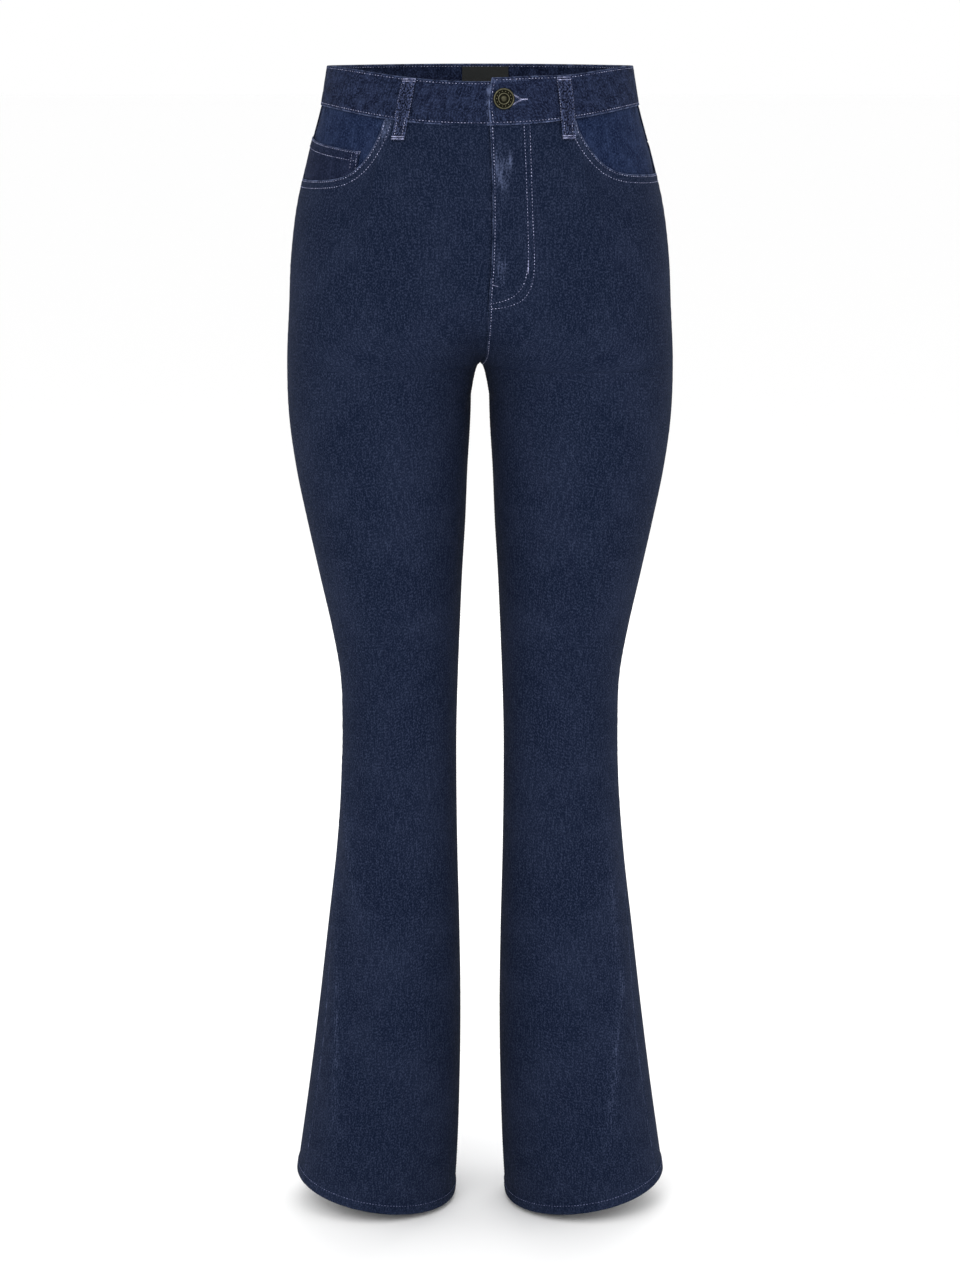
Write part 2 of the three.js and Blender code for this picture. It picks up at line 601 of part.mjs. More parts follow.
// The button stands on the waistband's under end, with its shank through the other end
function button() {
  const holeShare = (BAND_ROWS[2] + BAND_ROWS[3]) / 2;
  const u = uAtX(BUTTON.x, WAIST_SEAM.side / 2);
  const z = mix(waistLine(WAIST_TOP, u) + BAND.overLift, waistLine(WAIST_SEAM, u), holeShare);
  const base = placeOn(1, u, z);
  const outward = outwardAt(base);
  const profile = BUTTON_PROFILE.map(([radius, height]) => new THREE.Vector2(radius, height));
  const mesh = new THREE.Mesh(new THREE.LatheGeometry(profile, BUTTON.sides), OLD_BRASS);
  mesh.name = 'button';
  mesh.position.copy(base).addScaledVector(outward, BAND.underShift + BAND_PROUD + SEAM_GAP);
  mesh.quaternion.setFromUnitVectors(new THREE.Vector3(0, 1, 0), outward);
  jeans.add(mesh);
}

// A plain label on the inside of the waistband at the centre back
function label() {
  const inside = BAND_PROUD - BAND_WALL - SEAM_GAP;
  const grid = gridOf(LABEL.columns, LABEL.rows, (i, j) => {
    const x = mix(LABEL.from, LABEL.to, i / LABEL.columns);
    const z = WAIST_TOP.back - mix(LABEL.top, LABEL.bottom, j / LABEL.rows);
    const u = uAtX(Math.abs(x), z, true);
    const [outer, inner] = wallAt(x < 0 ? -1 : 1, u, z, inside, inside - LABEL_WALL);
    return [inner, outer];
  });
  addWall('label', grid, BLACK_TAPE);
}

waistband();
for (const [word, side] of [['right', -1], ['left', 1]]) {
  frontPanel(`front_${word}`, side);
  backPanel(`back_${word}`, side);
  yoke(`yoke_${word}`, side);
  facing(`pocket_facing_${word}`, side);
  backPocket(`back_pocket_${word}`, side);
}
coinPocket();
BELT_LOOPS.forEach(beltLoop);
button();
label();

export default jeans;
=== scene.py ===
"""High-waisted flared jeans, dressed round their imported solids.

The cloth is a thin shell on the form of the solids, laid out as columns and rows on the same sections.
The garment's sizes are in millimetres, and MM turns them into Blender's metres. The front faces -Y.
"""

import logging
import math
from collections.abc import Iterable, Sequence
from dataclasses import dataclass, field
from enum import Enum
from typing import NamedTuple

import bmesh
import bpy
import numpy as np
from mathutils import Matrix, Vector
from mathutils.bvhtree import BVHTree
from mathutils.kdtree import KDTree


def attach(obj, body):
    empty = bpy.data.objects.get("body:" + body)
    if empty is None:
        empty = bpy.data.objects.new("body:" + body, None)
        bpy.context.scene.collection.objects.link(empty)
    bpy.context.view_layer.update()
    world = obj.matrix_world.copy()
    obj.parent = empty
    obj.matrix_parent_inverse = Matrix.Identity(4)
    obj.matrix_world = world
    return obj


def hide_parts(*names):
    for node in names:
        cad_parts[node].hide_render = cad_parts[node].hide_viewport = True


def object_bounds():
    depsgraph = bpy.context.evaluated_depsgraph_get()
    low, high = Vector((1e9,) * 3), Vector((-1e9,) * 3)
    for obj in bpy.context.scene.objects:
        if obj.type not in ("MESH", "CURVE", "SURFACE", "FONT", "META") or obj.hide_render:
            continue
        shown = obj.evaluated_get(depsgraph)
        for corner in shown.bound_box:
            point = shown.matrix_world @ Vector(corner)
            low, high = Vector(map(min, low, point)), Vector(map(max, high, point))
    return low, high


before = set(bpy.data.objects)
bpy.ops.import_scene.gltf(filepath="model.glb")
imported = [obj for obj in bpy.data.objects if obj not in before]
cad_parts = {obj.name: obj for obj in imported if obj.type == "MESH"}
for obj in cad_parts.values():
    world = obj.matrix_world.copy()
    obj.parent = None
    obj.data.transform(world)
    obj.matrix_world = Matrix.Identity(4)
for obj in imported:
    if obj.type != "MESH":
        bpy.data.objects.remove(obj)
CAD_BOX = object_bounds()
LOG = logging.getLogger("jeans")

MM = 0.001
BODY = "root"

Array = np.ndarray


class Side(Enum):
    """The wearer's two sides, with the sign of their x."""

    RIGHT = -1
    LEFT = 1

    @property
    def word(self) -> str:
        """The side's word in the names of nodes."""
        return self.name.lower()


# The form of the garment, as in the solids: sections of one half from the waist down. out is the widest
# x, gap half the space between the legs, lap how far a half would reach past the middle, mid the x of
# the fullest place, front, back and side the y of those places, and turn the side seam's turn forwards.


class Section(NamedTuple):
    """One section of a half of the garment, in millimetres and degrees."""

    z: float
    out: float
    gap: float
    lap: float
    mid: float
    front: float
    back: float
    side: float
    turn: float


CROTCH_Z = -251.0
SECTIONS = (
    Section(24, 139.3, 8.2, 139.3, 0, -94, 88, 0, 0),
    Section(-15, 146, 8.2, 146, 0, -96, 92, 0, 0),
    Section(-60, 158.5, 8.2, 158.5, 0, -101, 104, 2, 0),
    Section(-105, 169.3, 8.2, 158, 10, -105, 115, 5, 0),
    Section(-150, 175.3, 8.2, 125, 30, -105, 123, 7, 0),
    Section(-200, 178.1, 8.2, 52, 60, -102, 126, 8, 0),
    Section(CROTCH_Z, 180.1, 8.2, 0, 89, -98, 112, 5, 0),
    Section(-300, 178.8, 8.9, 0, 93.8, -94, 98, 3, 0),
    Section(-350, 172.3, 11.8, 0, 92, -90, 88, 1, 0),
    Section(-400, 162.3, 13.9, 0, 88, -86, 80, 0, 0),
    Section(-450, 151.5, 16.9, 0, 84.2, -81, 73, -1, 0),
    Section(-500, 140.5, 19.1, 0, 79.8, -74, 68, -2, 0),
    Section(-545, 132.9, 20.9, 0, 76.9, -67, 64, -2, 0),
    Section(-600, 131.3, 22.4, 0, 76.9, -62, 62, -2, 0),
    Section(-650, 132.6, 22.5, 0, 77.5, -59, 62, 0, 3),
    Section(-720, 138.1, 21.7, 0, 79.9, -58, 66, 4, 12),
    Section(-800, 147.5, 19.9, 0, 83.7, -58, 74, 8, 23),
    Section(-880, 157, 19, 0, 88, -59, 83, 13, 29),
    Section(-960, 167.4, 20.1, 0, 93.8, -60, 92, 18, 28),
    Section(-1040, 178.8, 23, 0, 100.9, -60, 101, 22, 26),
    Section(-1085, 185, 25.9, 0, 105.5, -60, 106, 24, 26),
)
ARCH_RUN = 30.0
VALLEY_SHARE = 0.15
VALLEY_RUN = 60.0
WAIST_POWER = 2.2
LEG_POWER = 2.05
POWER_RUN = 120.0


class WaistLine(NamedTuple):
    """Heights of a line round the waist at the side, the front and the back."""

    side: float
    front: float
    back: float
    power: float


WAIST_TOP = WaistLine(21.5, 8.5, 22.5, 3.2)
WAIST_SEAM = WaistLine(-14.5, -30.5, -16, 2.5)
YOKE_SIDE_Z = -47.0
YOKE_BACK_Z = -80.0


class Place(NamedTuple):
    """A point of an outline: a place u round a half, or an x, and its height."""

    u: float
    z: float


SCOOP = (
    Place(0.185, -25.4), Place(0.189, -36), Place(0.199, -47), Place(0.2085, -54.5), Place(0.222, -62.5),
    Place(0.24, -69.3), Place(0.263, -74), Place(0.295, -76.7), Place(0.345, -78), Place(0.41, -78.5),
    Place(0.5, -78),
)
SCOOP_LEAN = 2.5
FLY_EDGE = (
    Place(8, 30), Place(8.7, -30), Place(10.1, -60), Place(10.2, -153), Place(8.1, -186), Place(7.7, -204),
    Place(6.4, -222), Place(4, -243), Place(0, CROTCH_Z),
)
FRONT_STEPS = (0.0, 0.045, 0.074, 0.088, 0.137, *(place.u for place in SCOOP))
EVEN_FROM = -110.0
EVEN_RUN = 150.0


class Fold(NamedTuple):
    """A soft fold between two places of a leg. half is half its width as a share of u."""

    side: int
    u0: float
    u1: float
    z0: float
    z1: float
    half: float
    rise: float


# The ten main folds are the solids' own. The small creases after them are only in the cloth.
FOLDS = (
    Fold(-1, 0.465, 0.37, -620, -790, 0.045, 2),
    Fold(-1, 0.49, 0.395, -735, -1040, 0.04, 2.4),
    Fold(-1, 0.44, 0.3, -775, -1055, 0.05, -2.6),
    Fold(1, 0.39, 0.455, -670, -880, 0.045, 2.2),
    Fold(1, 0.46, 0.335, -820, -1030, 0.045, 2.6),
    Fold(1, 0.4, 0.27, -790, -1055, 0.05, -2.6),
    Fold(-1, 0.66, 0.7, -560, -800, 0.05, -2.4),
    Fold(-1, 0.76, 0.72, -640, -1000, 0.06, 2.6),
    Fold(1, 0.7, 0.66, -570, -830, 0.05, -2.6),
    Fold(1, 0.8, 0.75, -660, -1030, 0.06, 2.4),
)
FOLD_FADE = 0.8
# The folds also paint light and shade into the wear value: a lighter line along each crest, part wear and
# part painted highlight, and raised cloth lighter with troughs and sunken creases darker, as painted
# highlight and painted shade.
CREST_WEAR_AND_HIGHLIGHT = 0.085
CREST_SHARP = 3.0
FOLD_PAINTED_LIGHT_AND_SHADE = 0.035


class Crease(NamedTuple):
    """A soft crease that crosses a leg, from one place to another. half is half its width in mm."""

    side: int
    u0: float
    z0: float
    u1: float
    z1: float
    half: float
    rise: float


CREASES = (
    Crease(-1, 0.02, -262, 0.17, -236, 5, -0.7),
    Crease(-1, 0.03, -285, 0.15, -268, 6, -0.5),
    Crease(1, 0.02, -260, 0.19, -232, 5, -0.7),
    Crease(1, 0.04, -290, 0.13, -276, 6, -0.5),
    Crease(-1, 0.62, -276, 0.97, -258, 9, -1.7),
    Crease(-1, 0.7, -296, 0.93, -284, 7, -1.0),
    Crease(1, 0.6, -272, 0.97, -256, 9, -1.8),
    Crease(1, 0.74, -299, 0.95, -281, 7, -1.1),
    Crease(-1, 0.6, -566, 0.93, -578, 8, -1.3),
    Crease(-1, 0.66, -603, 0.88, -594, 7, 1.0),
    Crease(-1, 0.62, -627, 0.9, -641, 9, -1.1),
    Crease(1, 0.58, -572, 0.9, -560, 8, -1.2),
    Crease(1, 0.7, -590, 0.94, -604, 8, 1.0),
    Crease(1, 0.61, -638, 0.87, -629, 9, -1.2),
)
CREASE_ARC = 420.0


def mix(a: Array, b: Array, share: Array) -> Array:
    """The value at a share of the way from a to b."""
    return a + (b - a) * share


def ease(share: Array) -> Array:
    """A smooth step from 0 to 1."""
    t = np.clip(share, 0.0, 1.0)
    return t * t * (3 - 2 * t)


class Curve:
    """A smooth curve through values given at falling heights."""

    def __init__(self, heights: Sequence[float], values: Sequence[float]) -> None:
        """Works out the slopes at the given heights.

        Args:
            heights: The heights, each lower than the one before.
            values: The curve's value at each height.
        """
        self.heights = np.array(heights, float)
        self.values = np.array(values, float)
        steps = np.diff(self.heights)
        rates = np.diff(self.values) / steps
        inner = (rates[:-1] * steps[1:] + rates[1:] * steps[:-1]) / (steps[:-1] + steps[1:])
        self.slopes = np.concatenate([rates[:1], inner, rates[-1:]])

    def __call__(self, z: Array) -> Array:
        """The curve's values at those heights, level beyond its ends."""
        z = np.asarray(z, float)
        i = np.clip(np.searchsorted(-self.heights, -z, side="left") - 1, 0, len(self.heights) - 2)
        step = self.heights[i + 1] - self.heights[i]
        t = np.clip((z - self.heights[i]) / step, 0.0, 1.0)
        t2, t3 = t * t, t * t * t
        return (
            (2 * t3 - 3 * t2 + 1) * self.values[i]
            + (t3 - 2 * t2 + t) * step * self.slopes[i]
            + (3 * t2 - 2 * t3) * self.values[i + 1]
            + (t3 - t2) * step * self.slopes[i + 1]
        )


class Form:
    """The filled-out form that all the cloth lies on, in millimetres."""

    def __init__(self) -> None:
        """Makes a curve of each of the sections' sizes."""
        heights = [section.z for section in SECTIONS]
        names = Section._fields[1:]
        self.curves = {n: Curve(heights, [getattr(s, n) for s in SECTIONS]) for n in names}
        self.fly_edge = Curve([place.z for place in FLY_EDGE], [place.u for place in FLY_EDGE])

    def section(self, z: Array) -> dict[str, Array]:
        """The section's sizes at those heights.

        Args:
            z: Heights in millimetres.

        Returns:
            The half widths on each side of the fullest place, the power of the outline, the angle at
            which the outline is cut at the middle and the angle of the side seam.
        """
        c = {name: curve(z) for name, curve in self.curves.items()}
        below = z < CROTCH_Z
        arch = np.sqrt(np.clip((CROTCH_Z - z) / ARCH_RUN, 0.0, 1.0))
        inn = np.where(below, c["gap"] * arch, -np.maximum(0.0, c["lap"]))
        mid = np.maximum(0.0, c["mid"])
        soft = np.where(below, 0.0, VALLEY_SHARE * mid * ease((z - CROTCH_Z) / VALLEY_RUN))
        power = mix(WAIST_POWER, LEG_POWER, ease(0.5 + (CROTCH_Z - z) / POWER_RUN))
        reach = np.where(below, 1.0, np.clip((mid - soft) / np.maximum(mid - inn, 1e-6), 0.0, 1.0))
        return {
            "mid": mid, "soft": soft, "power": power, "inn": mid - inn, "out": c["out"] - mid,
            "side": c["side"], "front": c["side"] - c["front"], "back": c["back"] - c["side"],
            "cut": np.arcsin(reach ** (power / 2)), "seam": math.pi / 2 - np.radians(c["turn"]),
        }

    def place(self, side: Array, u: Array, z: Array) -> Array:
        """Points of the form.

        Args:
            side: -1 or 1 for the wearer's right or left.
            u: 0 at the front middle or the inside seam, 0.5 at the side seam, 1 at the back middle.
                Below 0 and above 1 it goes on round the other half.
            z: Heights.

        Returns:
            The points, with x, y and z along the last axis.
        """
        side, u, z = np.broadcast_arrays(np.asarray(side, float), np.asarray(u, float), np.asarray(z, float))
        side = np.where((u < 0) | (u > 1), -side, side)
        u = np.where(u < 0, -u, np.where(u > 1, 2 - u, u))
        s = self.section(z)
        ahead = mix(-s["cut"], s["seam"], u / 0.5)
        behind = mix(s["seam"], math.pi + s["cut"], (u - 0.5) / 0.5)
        angle = np.where(u < 0.5, ahead, behind)
        across, along = np.sin(angle), np.cos(angle)
        half = np.where(across < 0, s["inn"], s["out"])
        depth = np.where(along > 0, s["front"], s["back"])
        x = s["mid"] + half * np.sign(across) * np.abs(across) ** (2 / s["power"])
        y = s["side"] - depth * np.sign(along) * np.abs(along) ** (2 / s["power"])
        return np.stack([side * np.sqrt(np.maximum(0.0, x * x - s["soft"] ** 2)), y, z], axis=-1)

    def fullness(self, x: Array, y: Array, z: Array) -> Array:
        """How far points lie from the axis of their section, 1 on the cloth."""
        s = self.section(z)
        reach = np.hypot(x, s["soft"]) - s["mid"]
        across = reach / np.where(reach < 0, s["inn"], s["out"])
        deep = y - s["side"]
        along = deep / np.where(deep < 0, s["front"], s["back"])
        return np.abs(across) ** s["power"] + np.abs(along) ** s["power"]

    def outward(self, points: Array) -> Array:
        """The directions that face straight out of the form at its points."""
        step = 0.4
        x, y, z = points[..., 0], points[..., 1], points[..., 2]
        slope = np.stack([
            self.fullness(x + step, y, z) - self.fullness(x - step, y, z),
            self.fullness(x, y + step, z) - self.fullness(x, y - step, z),
            self.fullness(x, y, z + step) - self.fullness(x, y, z - step),
        ], axis=-1)
        return slope / np.linalg.norm(slope, axis=-1, keepdims=True)

    def folds(self, side: Array, u: Array, z: Array) -> tuple[Array, Array]:
        """The loose cloth's folds and creases.

        Args:
            side: -1 or 1 for the wearer's right or left.
            u: Places round the half.
            z: Heights.

        Returns:
            The height of the folds and creases, and their share of the wear value: crest wear with a painted
            highlight, and painted light and shade that follow the height.
        """
        height = np.zeros(np.broadcast(side, u, z).shape)
        wear = np.zeros(height.shape)
        for fold in FOLDS:
            down = (fold.z0 - z) / (fold.z0 - fold.z1)
            inside = (side == fold.side) & (down > 0) & (down < 1)
            away = (u - mix(fold.u0, fold.u1, down)) / fold.half
            fade = np.sin(math.pi * np.clip(down, 0, 1)) ** FOLD_FADE
            height += np.where(inside, fold.rise * np.exp(-away * away) * fade, 0.0)
            # Lighter line along the fold's crest: part wear, part painted highlight
            crest = CREST_WEAR_AND_HIGHLIGHT * fold.rise * np.exp(-((CREST_SHARP * away) ** 2)) * fade
            wear += np.where(inside, crest, 0.0)
        for crease in CREASES:
            run = (crease.u1 - crease.u0) * CREASE_ARC
            fall = crease.z1 - crease.z0
            dx = (u - crease.u0) * CREASE_ARC
            dz = z - crease.z0
            long = math.hypot(run, fall)
            share = (dx * run + dz * fall) / long**2
            away = (dx * fall - dz * run) / long / crease.half
            fade = np.sin(math.pi * np.clip(share, 0, 1)) ** 0.7
            height += np.where(side == crease.side, crease.rise * np.exp(-away * away) * fade, 0.0)
        # Painted light and shade: raised cloth lighter, troughs and sunken creases darker
        return height, wear + FOLD_PAINTED_LIGHT_AND_SHADE * height

    def u_at_x(self, x: Array, z: Array, back: bool = False) -> Array:
        """The place u of an x, 0 or more, at a height, on the front or on the back."""
        s = self.section(np.asarray(z, float))
        reach = np.hypot(x, s["soft"]) - s["mid"]
        share = np.minimum(1.0, np.abs(reach) / np.where(reach < 0, s["inn"], s["out"]))
        angle = np.sign(reach) * np.arcsin(share ** (s["power"] / 2))
        if back:
            return 1 - 0.5 * (angle + s["cut"]) / (math.pi - s["seam"] + s["cut"])
        return 0.5 * (angle + s["cut"]) / (s["seam"] + s["cut"])


FORM = Form()


def waist_line(line: WaistLine, u: Array) -> Array:
    """Heights of a line round the waist."""
    turn = np.abs(np.cos(math.pi * u)) ** line.power
    return mix(line.side, np.where(np.cos(math.pi * u) > 0, line.front, line.back), turn)


def yoke_line(u: Array) -> Array:
    """Heights of the seam between the yoke and the back."""
    return mix(YOKE_SIDE_Z, YOKE_BACK_Z, (u - 0.5) / 0.5)


def scoop_line(side: int, u: Array) -> Array:
    """Heights of the hip pocket's edge, a little lower on the wearer's right."""
    z = np.interp(u, [place.u for place in SCOOP], [place.z for place in SCOOP])
    return z + side * SCOOP_LEAN * ease((SCOOP[0].z - z) / (SCOOP[0].z - SCOOP[4].z))


@dataclass(frozen=True)
class Hem:
    """The hem's plane across a leg, and the doubled cloth above it."""

    z: float = -1061.0
    x: float = 102.0
    y: float = 22.0
    rise_out: float = 0.155
    rise_back: float = 0.073
    fold: float = 10.0
    proud: float = 0.9

    def height(self, side: Array, u: Array) -> Array:
        """The height of the hem's edge at places round the leg."""
        z = np.full(np.broadcast(side, u).shape, self.z)
        for _ in range(3):
            point = FORM.place(side, u, z)
            outwards = np.abs(point[..., 0]) - self.x
            z = self.z + self.rise_out * outwards + self.rise_back * (point[..., 1] - self.y)
        return z


HEM = Hem()


def spread(length: float, step: float, near_start: Sequence[float], near_end: Sequence[float]) -> Array:
    """Places along a length, close together at its two ends.

    Args:
        length: The whole length.
        step: The greatest distance between two places.
        near_start: Distances of the first places from the start.
        near_end: Distances of the last places from the end.

    Returns:
        The places' distances from the start, from 0 to the length.
    """
    first, last = near_start[-1], length - near_end[-1]
    count = max(2, math.ceil((last - first) / step) + 1)
    middle = np.linspace(first, last, count)[1:-1]
    return np.concatenate([near_start, middle, (length - np.array(near_end))[::-1]])


def spread_shares(length: float, step: float, start: Sequence[float], end: Sequence[float]) -> Array:
    """The places that spread gives, as shares of the length."""
    return spread(length, step, start, end) / length


# Distances of the first columns or rows from an edge that is folded under, and from a plain seam
EDGE_STEPS = (0.0, 0.12, 0.35, 0.7, 1.2, 2.0, 3.2)
SEAM_STEPS = (0.0, 0.5, 1.1, 2.0, 3.2)


class Row(NamedTuple):
    """A channel beside an edge: its distance from the edge, its depth and half its width."""

    at: float
    depth: float
    half: float


class Pucker(NamedTuple):
    """Ridges beside a sewn line: height, distance from it, half their length across it, and spacing."""

    height: float
    at: float
    half: float
    spacing: float


class Seam(NamedTuple):
    """How an edge is turned under and worn, with the channels of its rows and its puckers."""

    radius: float
    wear: float
    rows: tuple[Row, ...] = ()
    puckers: tuple[Pucker, ...] = ()


FLY_SEAM = Seam(0.9, 0.62, (), (Pucker(0.12, 5, 3, 5),))
SCOOP_SEAM = Seam(0.9, 0.85, (Row(1.9, 0.2, 0.8), Row(7.6, 0.25, 1.0)), (Pucker(0.2, 4.6, 2.6, 3.4),))
SEAT_SEAM = Seam(0.6, 0.25, (Row(1.8, 0.2, 0.8), Row(7.4, 0.2, 1.0)), (Pucker(0.22, 4.6, 2.8, 4.2),))
INSEAM = Seam(0.6, 0.2, (Row(1.9, 0.18, 0.8),), (Pucker(0.2, 4.5, 3, 4.4),))
OUTSEAM = Seam(0.7, 0.55, (), (Pucker(0.3, 4.5, 3.6, 5.2),))
# The hem's second channel lies just above its doubled cloth and holds no stitches
HEM_SEAM = Seam(1.0, 0.34, (Row(8.9, 0.25, 0.9), Row(12.6, 0.2, 1.3)), (Pucker(0.34, 5.6, 3.2, 5.4),))
YOKE_SEAM = Seam(0.9, 0.5, (Row(1.9, 0.2, 0.8), Row(7.5, 0.22, 1.0)), (Pucker(0.22, 4.7, 2.8, 4.0),))
YOKE_SEAT = Seam(0.6, 0.25, (Row(1.8, 0.2, 0.8),))
YOKE_SIDE = Seam(0.7, 0.35)
FACING_SIDE = Seam(0.7, 0.3)
COIN_MOUTH = Seam(0.8, 0.75, (), (Pucker(0.12, 5, 3, 4),))
COIN_SIDE = Seam(0.8, 0.45, (Row(1.6, 0.15, 0.7),))
POCKET_SEAM = Seam(0.9, 0.45, (Row(1.8, 0.18, 0.8), Row(7.2, 0.2, 1.0)), (Pucker(0.2, 4.5, 2.8, 4.2),))
POCKET_MOUTH = Seam(0.9, 0.7)
LOOP_EDGE = Seam(0.8, 0.5)


class Uneven:
    """A smooth, seeded wave along a line, with swells of uneven length and height."""

    def __init__(self, seed: int, spacing: float, length: float = 1400.0) -> None:
        """Draws the swells.

        Args:
            seed: The seed of the draw.
            spacing: The usual distance between a crest and a trough.
            length: The length that the wave covers.
        """
        draw = np.random.default_rng(seed)
        steps = spacing * draw.uniform(0.6, 1.4, int(length / spacing) + 8)
        self.knots = np.cumsum(steps) - 4 * spacing
        signs = np.where(np.arange(len(steps)) % 2 == 0, 1.0, -1.0)
        self.values = signs * draw.uniform(0.35, 1.0, len(steps))

    def __call__(self, along: Array) -> Array:
        """The wave's heights, from -1 to 1, at distances along the line."""
        i = np.clip(np.searchsorted(self.knots, along) - 1, 0, len(self.knots) - 2)
        share = (along - self.knots[i]) / (self.knots[i + 1] - self.knots[i])
        return mix(self.values[i], self.values[i + 1], ease(share))


class Line:
    """A line on the cloth, such as an edge or a seam, as points half a millimetre apart."""

    STEP = 0.5
    REACH = 42.0

    def __init__(self, points: Array) -> None:
        """Spaces the points evenly.

        Args:
            points: The line's points in millimetres.
        """
        away = np.linalg.norm(np.diff(points, axis=0), axis=1)
        kept = np.concatenate([[True], away > 1e-6])
        points = points[kept]
        gone = np.concatenate([[0.0], np.cumsum(np.linalg.norm(np.diff(points, axis=0), axis=1))])
        self.length = float(gone[-1])
        self.along = np.linspace(0.0, self.length, max(3, int(self.length / self.STEP) + 1))
        self.points = np.stack([np.interp(self.along, gone, points[:, k]) for k in range(3)], axis=1)
        self.tree = KDTree(len(self.points))
        for i, point in enumerate(self.points):
            self.tree.insert(point, i)
        self.tree.balance()
        self.measured: tuple[Array, Array, Array] | None = None

    def measure(self, points: Array) -> tuple[Array, Array]:
        """How far points lie from the line, and where along it. The last answer is kept.

        Args:
            points: The points, with x, y and z along the last axis.

        Returns:
            Their distances from the line, REACH or more where they lie beyond it, and the distance along
            the line of the nearest place.
        """
        if self.measured is None or self.measured[0] is not points:
            lowest, highest = self.points.min(0) - self.REACH, self.points.max(0) + self.REACH
            near = ((points > lowest) & (points < highest)).all(-1)
            distance, along = np.full(points.shape[:-1], 2 * self.REACH), np.zeros(points.shape[:-1])
            distance[near], along[near] = self.nearest(points[near])
            self.measured = (points, distance, along)
        return self.measured[1:]

    def nearest(self, flat: Array) -> tuple[Array, Array]:
        """The distances of a list of points from the line, and of their nearest places along it."""
        nearest = np.array([self.tree.find(point)[1] for point in flat])
        distance = np.full(len(flat), np.inf)
        along = np.zeros(len(flat))
        for start in (nearest - 1, nearest):
            a = np.clip(start, 0, len(self.points) - 2)
            stride = self.points[a + 1] - self.points[a]
            share = ((flat - self.points[a]) * stride).sum(1) / np.maximum((stride**2).sum(1), 1e-12)
            share = np.clip(share, 0.0, 1.0)
            away = np.linalg.norm(flat - self.points[a] - stride * share[:, None], axis=1)
            closer = away < distance
            distance = np.where(closer, away, distance)
            along = np.where(closer, mix(self.along[a], self.along[a + 1], share), along)
        return distance, along


@dataclass(frozen=True)
class Cut:
    """How a piece of cloth is cut: its flat width and length in metres, its area, and what it hangs from."""

    width: float
    length: float
    area: float
    hangs_from: tuple[str, ...] = ("waistband",)


